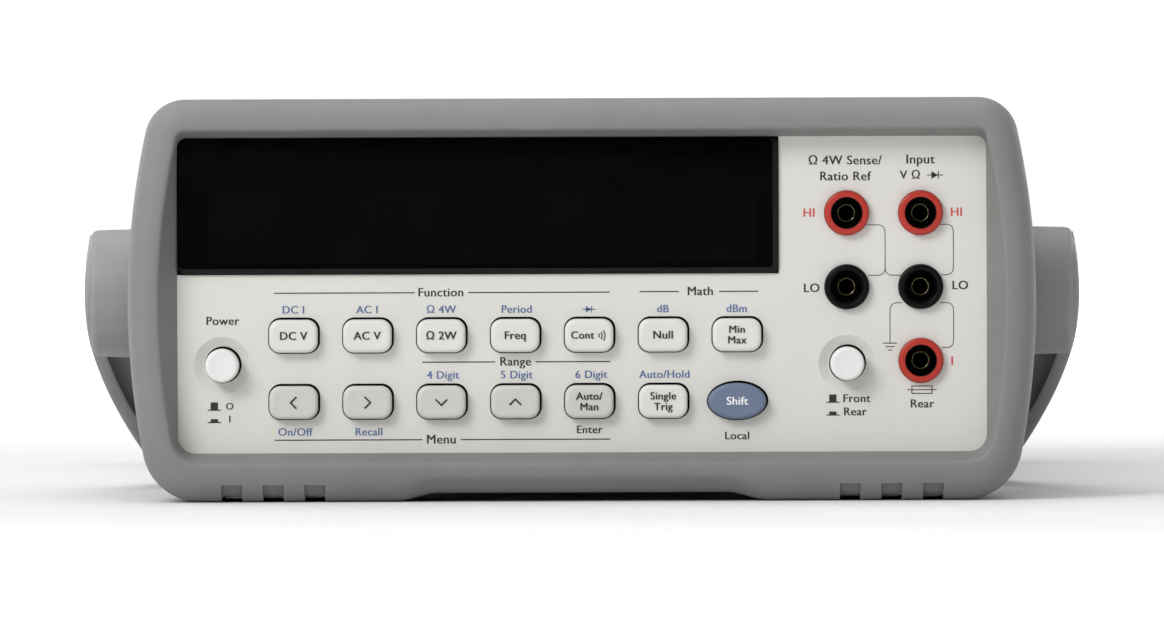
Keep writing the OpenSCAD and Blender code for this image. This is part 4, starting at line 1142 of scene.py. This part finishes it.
CAD_LOOKS = {
    "cover": PAINT, "front_panel": PANEL, "jack_plate": PANEL, "rear_panel": REAR_PANEL,
    "display_tube": GLASS, "front_board": BOARD, "main_board": BOARD, "key_mat": MAT_RUBBER,
    "power_rod": WHITE, "input_rod": WHITE, "power_switch": BLACK_MATTE, "input_switch": BLACK_MATTE,
    "mains_inlet": BLACK_MATTE, "mains_pins": BRASS, "line_fuse_drawer": BLACK, "line_fuse": GLASS,
    "input_fuse_holder": BLACK_MATTE, "input_fuse_cap": BLACK, "input_fuse": GLASS,
    "bnc_connectors": NICKEL, "bus_connector": NICKEL, "serial_connector": NICKEL,
    "jackscrews": NICKEL, "ground_screw": BRASS, "cover_screws": NICKEL, "chassis": ZINC,
    "board_components": BLACK_MATTE, "transformer_core": CORE, "transformer_winding": WINDING,
    "filter_capacitors": CAPACITOR, "heat_sink": HEAT_SINK, "input_shield": ZINC,
    "ribbon_cable": CABLE, "handle_pivots": HANDLE,
}
# Widths of the bevels on sharp edges, in millimetres
BEVELS = {
    "mains_inlet": 0.5, "line_fuse_drawer": 0.4, "input_fuse_holder": 0.3, "input_fuse_cap": 0.4,
    "bnc_connectors": 0.2, "bus_connector": 0.25, "serial_connector": 0.2, "jackscrews": 0.25,
    "ground_screw": 0.3, "cover_screws": 0.3, "mains_pins": 0.25, "transformer_core": 0.6,
    "transformer_winding": 1.2, "filter_capacitors": 0.8, "board_components": 0.3,
}
WELD_WITHIN = 1e-6
FLAT_WITHIN = math.radians(1)
SHARP_FROM = math.radians(40)


def soften_edges(node, width):
    """Rounds a CAD node's sharp edges with modifiers, which leave its mesh as it is."""
    weld = node.modifiers.new("weld", "WELD")
    weld.merge_threshold = WELD_WITHIN
    flat = node.modifiers.new("flat", "DECIMATE")
    flat.decimate_type = "DISSOLVE"
    flat.angle_limit = FLAT_WITHIN
    round_edges = node.modifiers.new("edges", "BEVEL")
    round_edges.width = width * MM
    round_edges.segments = 2
    round_edges.limit_method = "ANGLE"
    round_edges.angle_limit = SHARP_FROM
    round_edges.harden_normals = True


for name, mat in CAD_LOOKS.items():
    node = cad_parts[name]
    node.data.materials.clear()
    node.data.materials.append(mat)
    if name in BEVELS:
        soften_edges(node, BEVELS[name])

# ---------- floor, light and camera ----------

AMBIENT = 0.45
SEEN_WHITE = 1.02
FLOOR_R = 8.0
FLOOR_STEPS = 96
# Distances in metres over which the floor starts to glow
GLOW_FROM = 0.3
GLOW_FULL = 2.0

SENSOR = 36.0
LENS = 336.86598
DISTANCE = 2.8
EYE_HEIGHT = 0.090
AIM_HEIGHT = 0.0483
ROLL = math.radians(-0.2)


def stage_floor():
    """A round pale table top that glows a little further out, so that it melts into the surround."""
    mat, tree, shader = new_material("floor_paper")
    fleck = spread(tree, noise(tree, 9.0, 4.0), 0, 1)
    fibre = tint(tree, fleck, linear(224, 224, 224), linear(229, 229, 229))
    tree.links.new(fibre, shader.inputs["Base Color"])
    set_inputs(shader, {"Roughness": 0.55, "Specular IOR Level": 0.3, "Emission Color": (1, 1, 1, 1)})
    coords = tree.nodes.new("ShaderNodeTexCoord")
    reach = tree.nodes.new("ShaderNodeVectorMath")
    reach.operation = "LENGTH"
    tree.links.new(coords.outputs["Object"], reach.inputs[0])
    tree.links.new(spread(tree, reach.outputs["Value"], 0.0, 1.0, GLOW_FROM, GLOW_FULL),
                   shader.inputs["Emission Strength"])
    rim = [(FLOOR_R * math.cos(t), FLOOR_R * math.sin(t), 0) for t in turns(FLOOR_STEPS)]
    mesh = bpy.data.meshes.new("floor")
    mesh.from_pydata(rim, [], [tuple(range(FLOOR_STEPS))])
    mesh.materials.append(mat)
    floor = add_object("floor", mesh)


def area_light(name, place, target, size, power):
    """A square lamp at a place in metres, facing a target."""
    data = bpy.data.lights.new(name, "AREA")
    data.shape = "RECTANGLE"
    data.size = size
    data.size_y = size
    data.energy = power
    lamp = add_object(name, data)
    lamp.location = place
    lamp.rotation_euler = (Vector(target) - Vector(place)).to_track_quat("-Z", "Y").to_euler()


def sky():
    """An even white surround: bright where the eye sees it, softer as a light."""
    world = bpy.data.worlds.new("studio")
    bpy.context.scene.world = world
    world.use_nodes = True
    tree = world.node_tree
    surround = tree.nodes["Background"]
    set_inputs(surround, {"Color": (1, 1, 1, 1)})
    rays = tree.nodes.new("ShaderNodeLightPath")
    strength = spread(tree, rays.outputs["Is Camera Ray"], AMBIENT, SEEN_WHITE, 0, 1)
    tree.links.new(strength, surround.inputs["Strength"])


def photo_camera():
    """The long lens low in front of the face, with the photograph's slight roll."""
    data = bpy.data.cameras.new("camera")
    data.sensor_width = SENSOR
    data.lens = LENS
    data.clip_start = 0.1
    data.clip_end = 60
    camera = add_object("camera", data)
    place = Vector((0.0, FRONT_Y * MM - DISTANCE, EYE_HEIGHT))
    target = Vector((0.0, FRONT_Y * MM, AIM_HEIGHT))
    camera.location = place
    look = (target - place).to_track_quat("-Z", "Y").to_matrix().to_4x4()
    camera.rotation_euler = (look @ Matrix.Rotation(ROLL, 4, "Z")).to_euler()
    bpy.context.scene.camera = camera


stage_floor()
sky()
area_light("key_light", (-1.5, -1.9, 1.6), (0, -0.1, 0.05), 1.2, 46)
area_light("top_light", (-0.2, 0.2, 2.2), (0, 0, 0), 2.4, 32)
for side in (-1, 1):
    area_light("rim_light", (1.5 * side, 1.5, 0.5), (0, -0.1, 0.05), 0.9, 9)
photo_camera()
bpy.context.scene.view_settings.view_transform = "Standard"
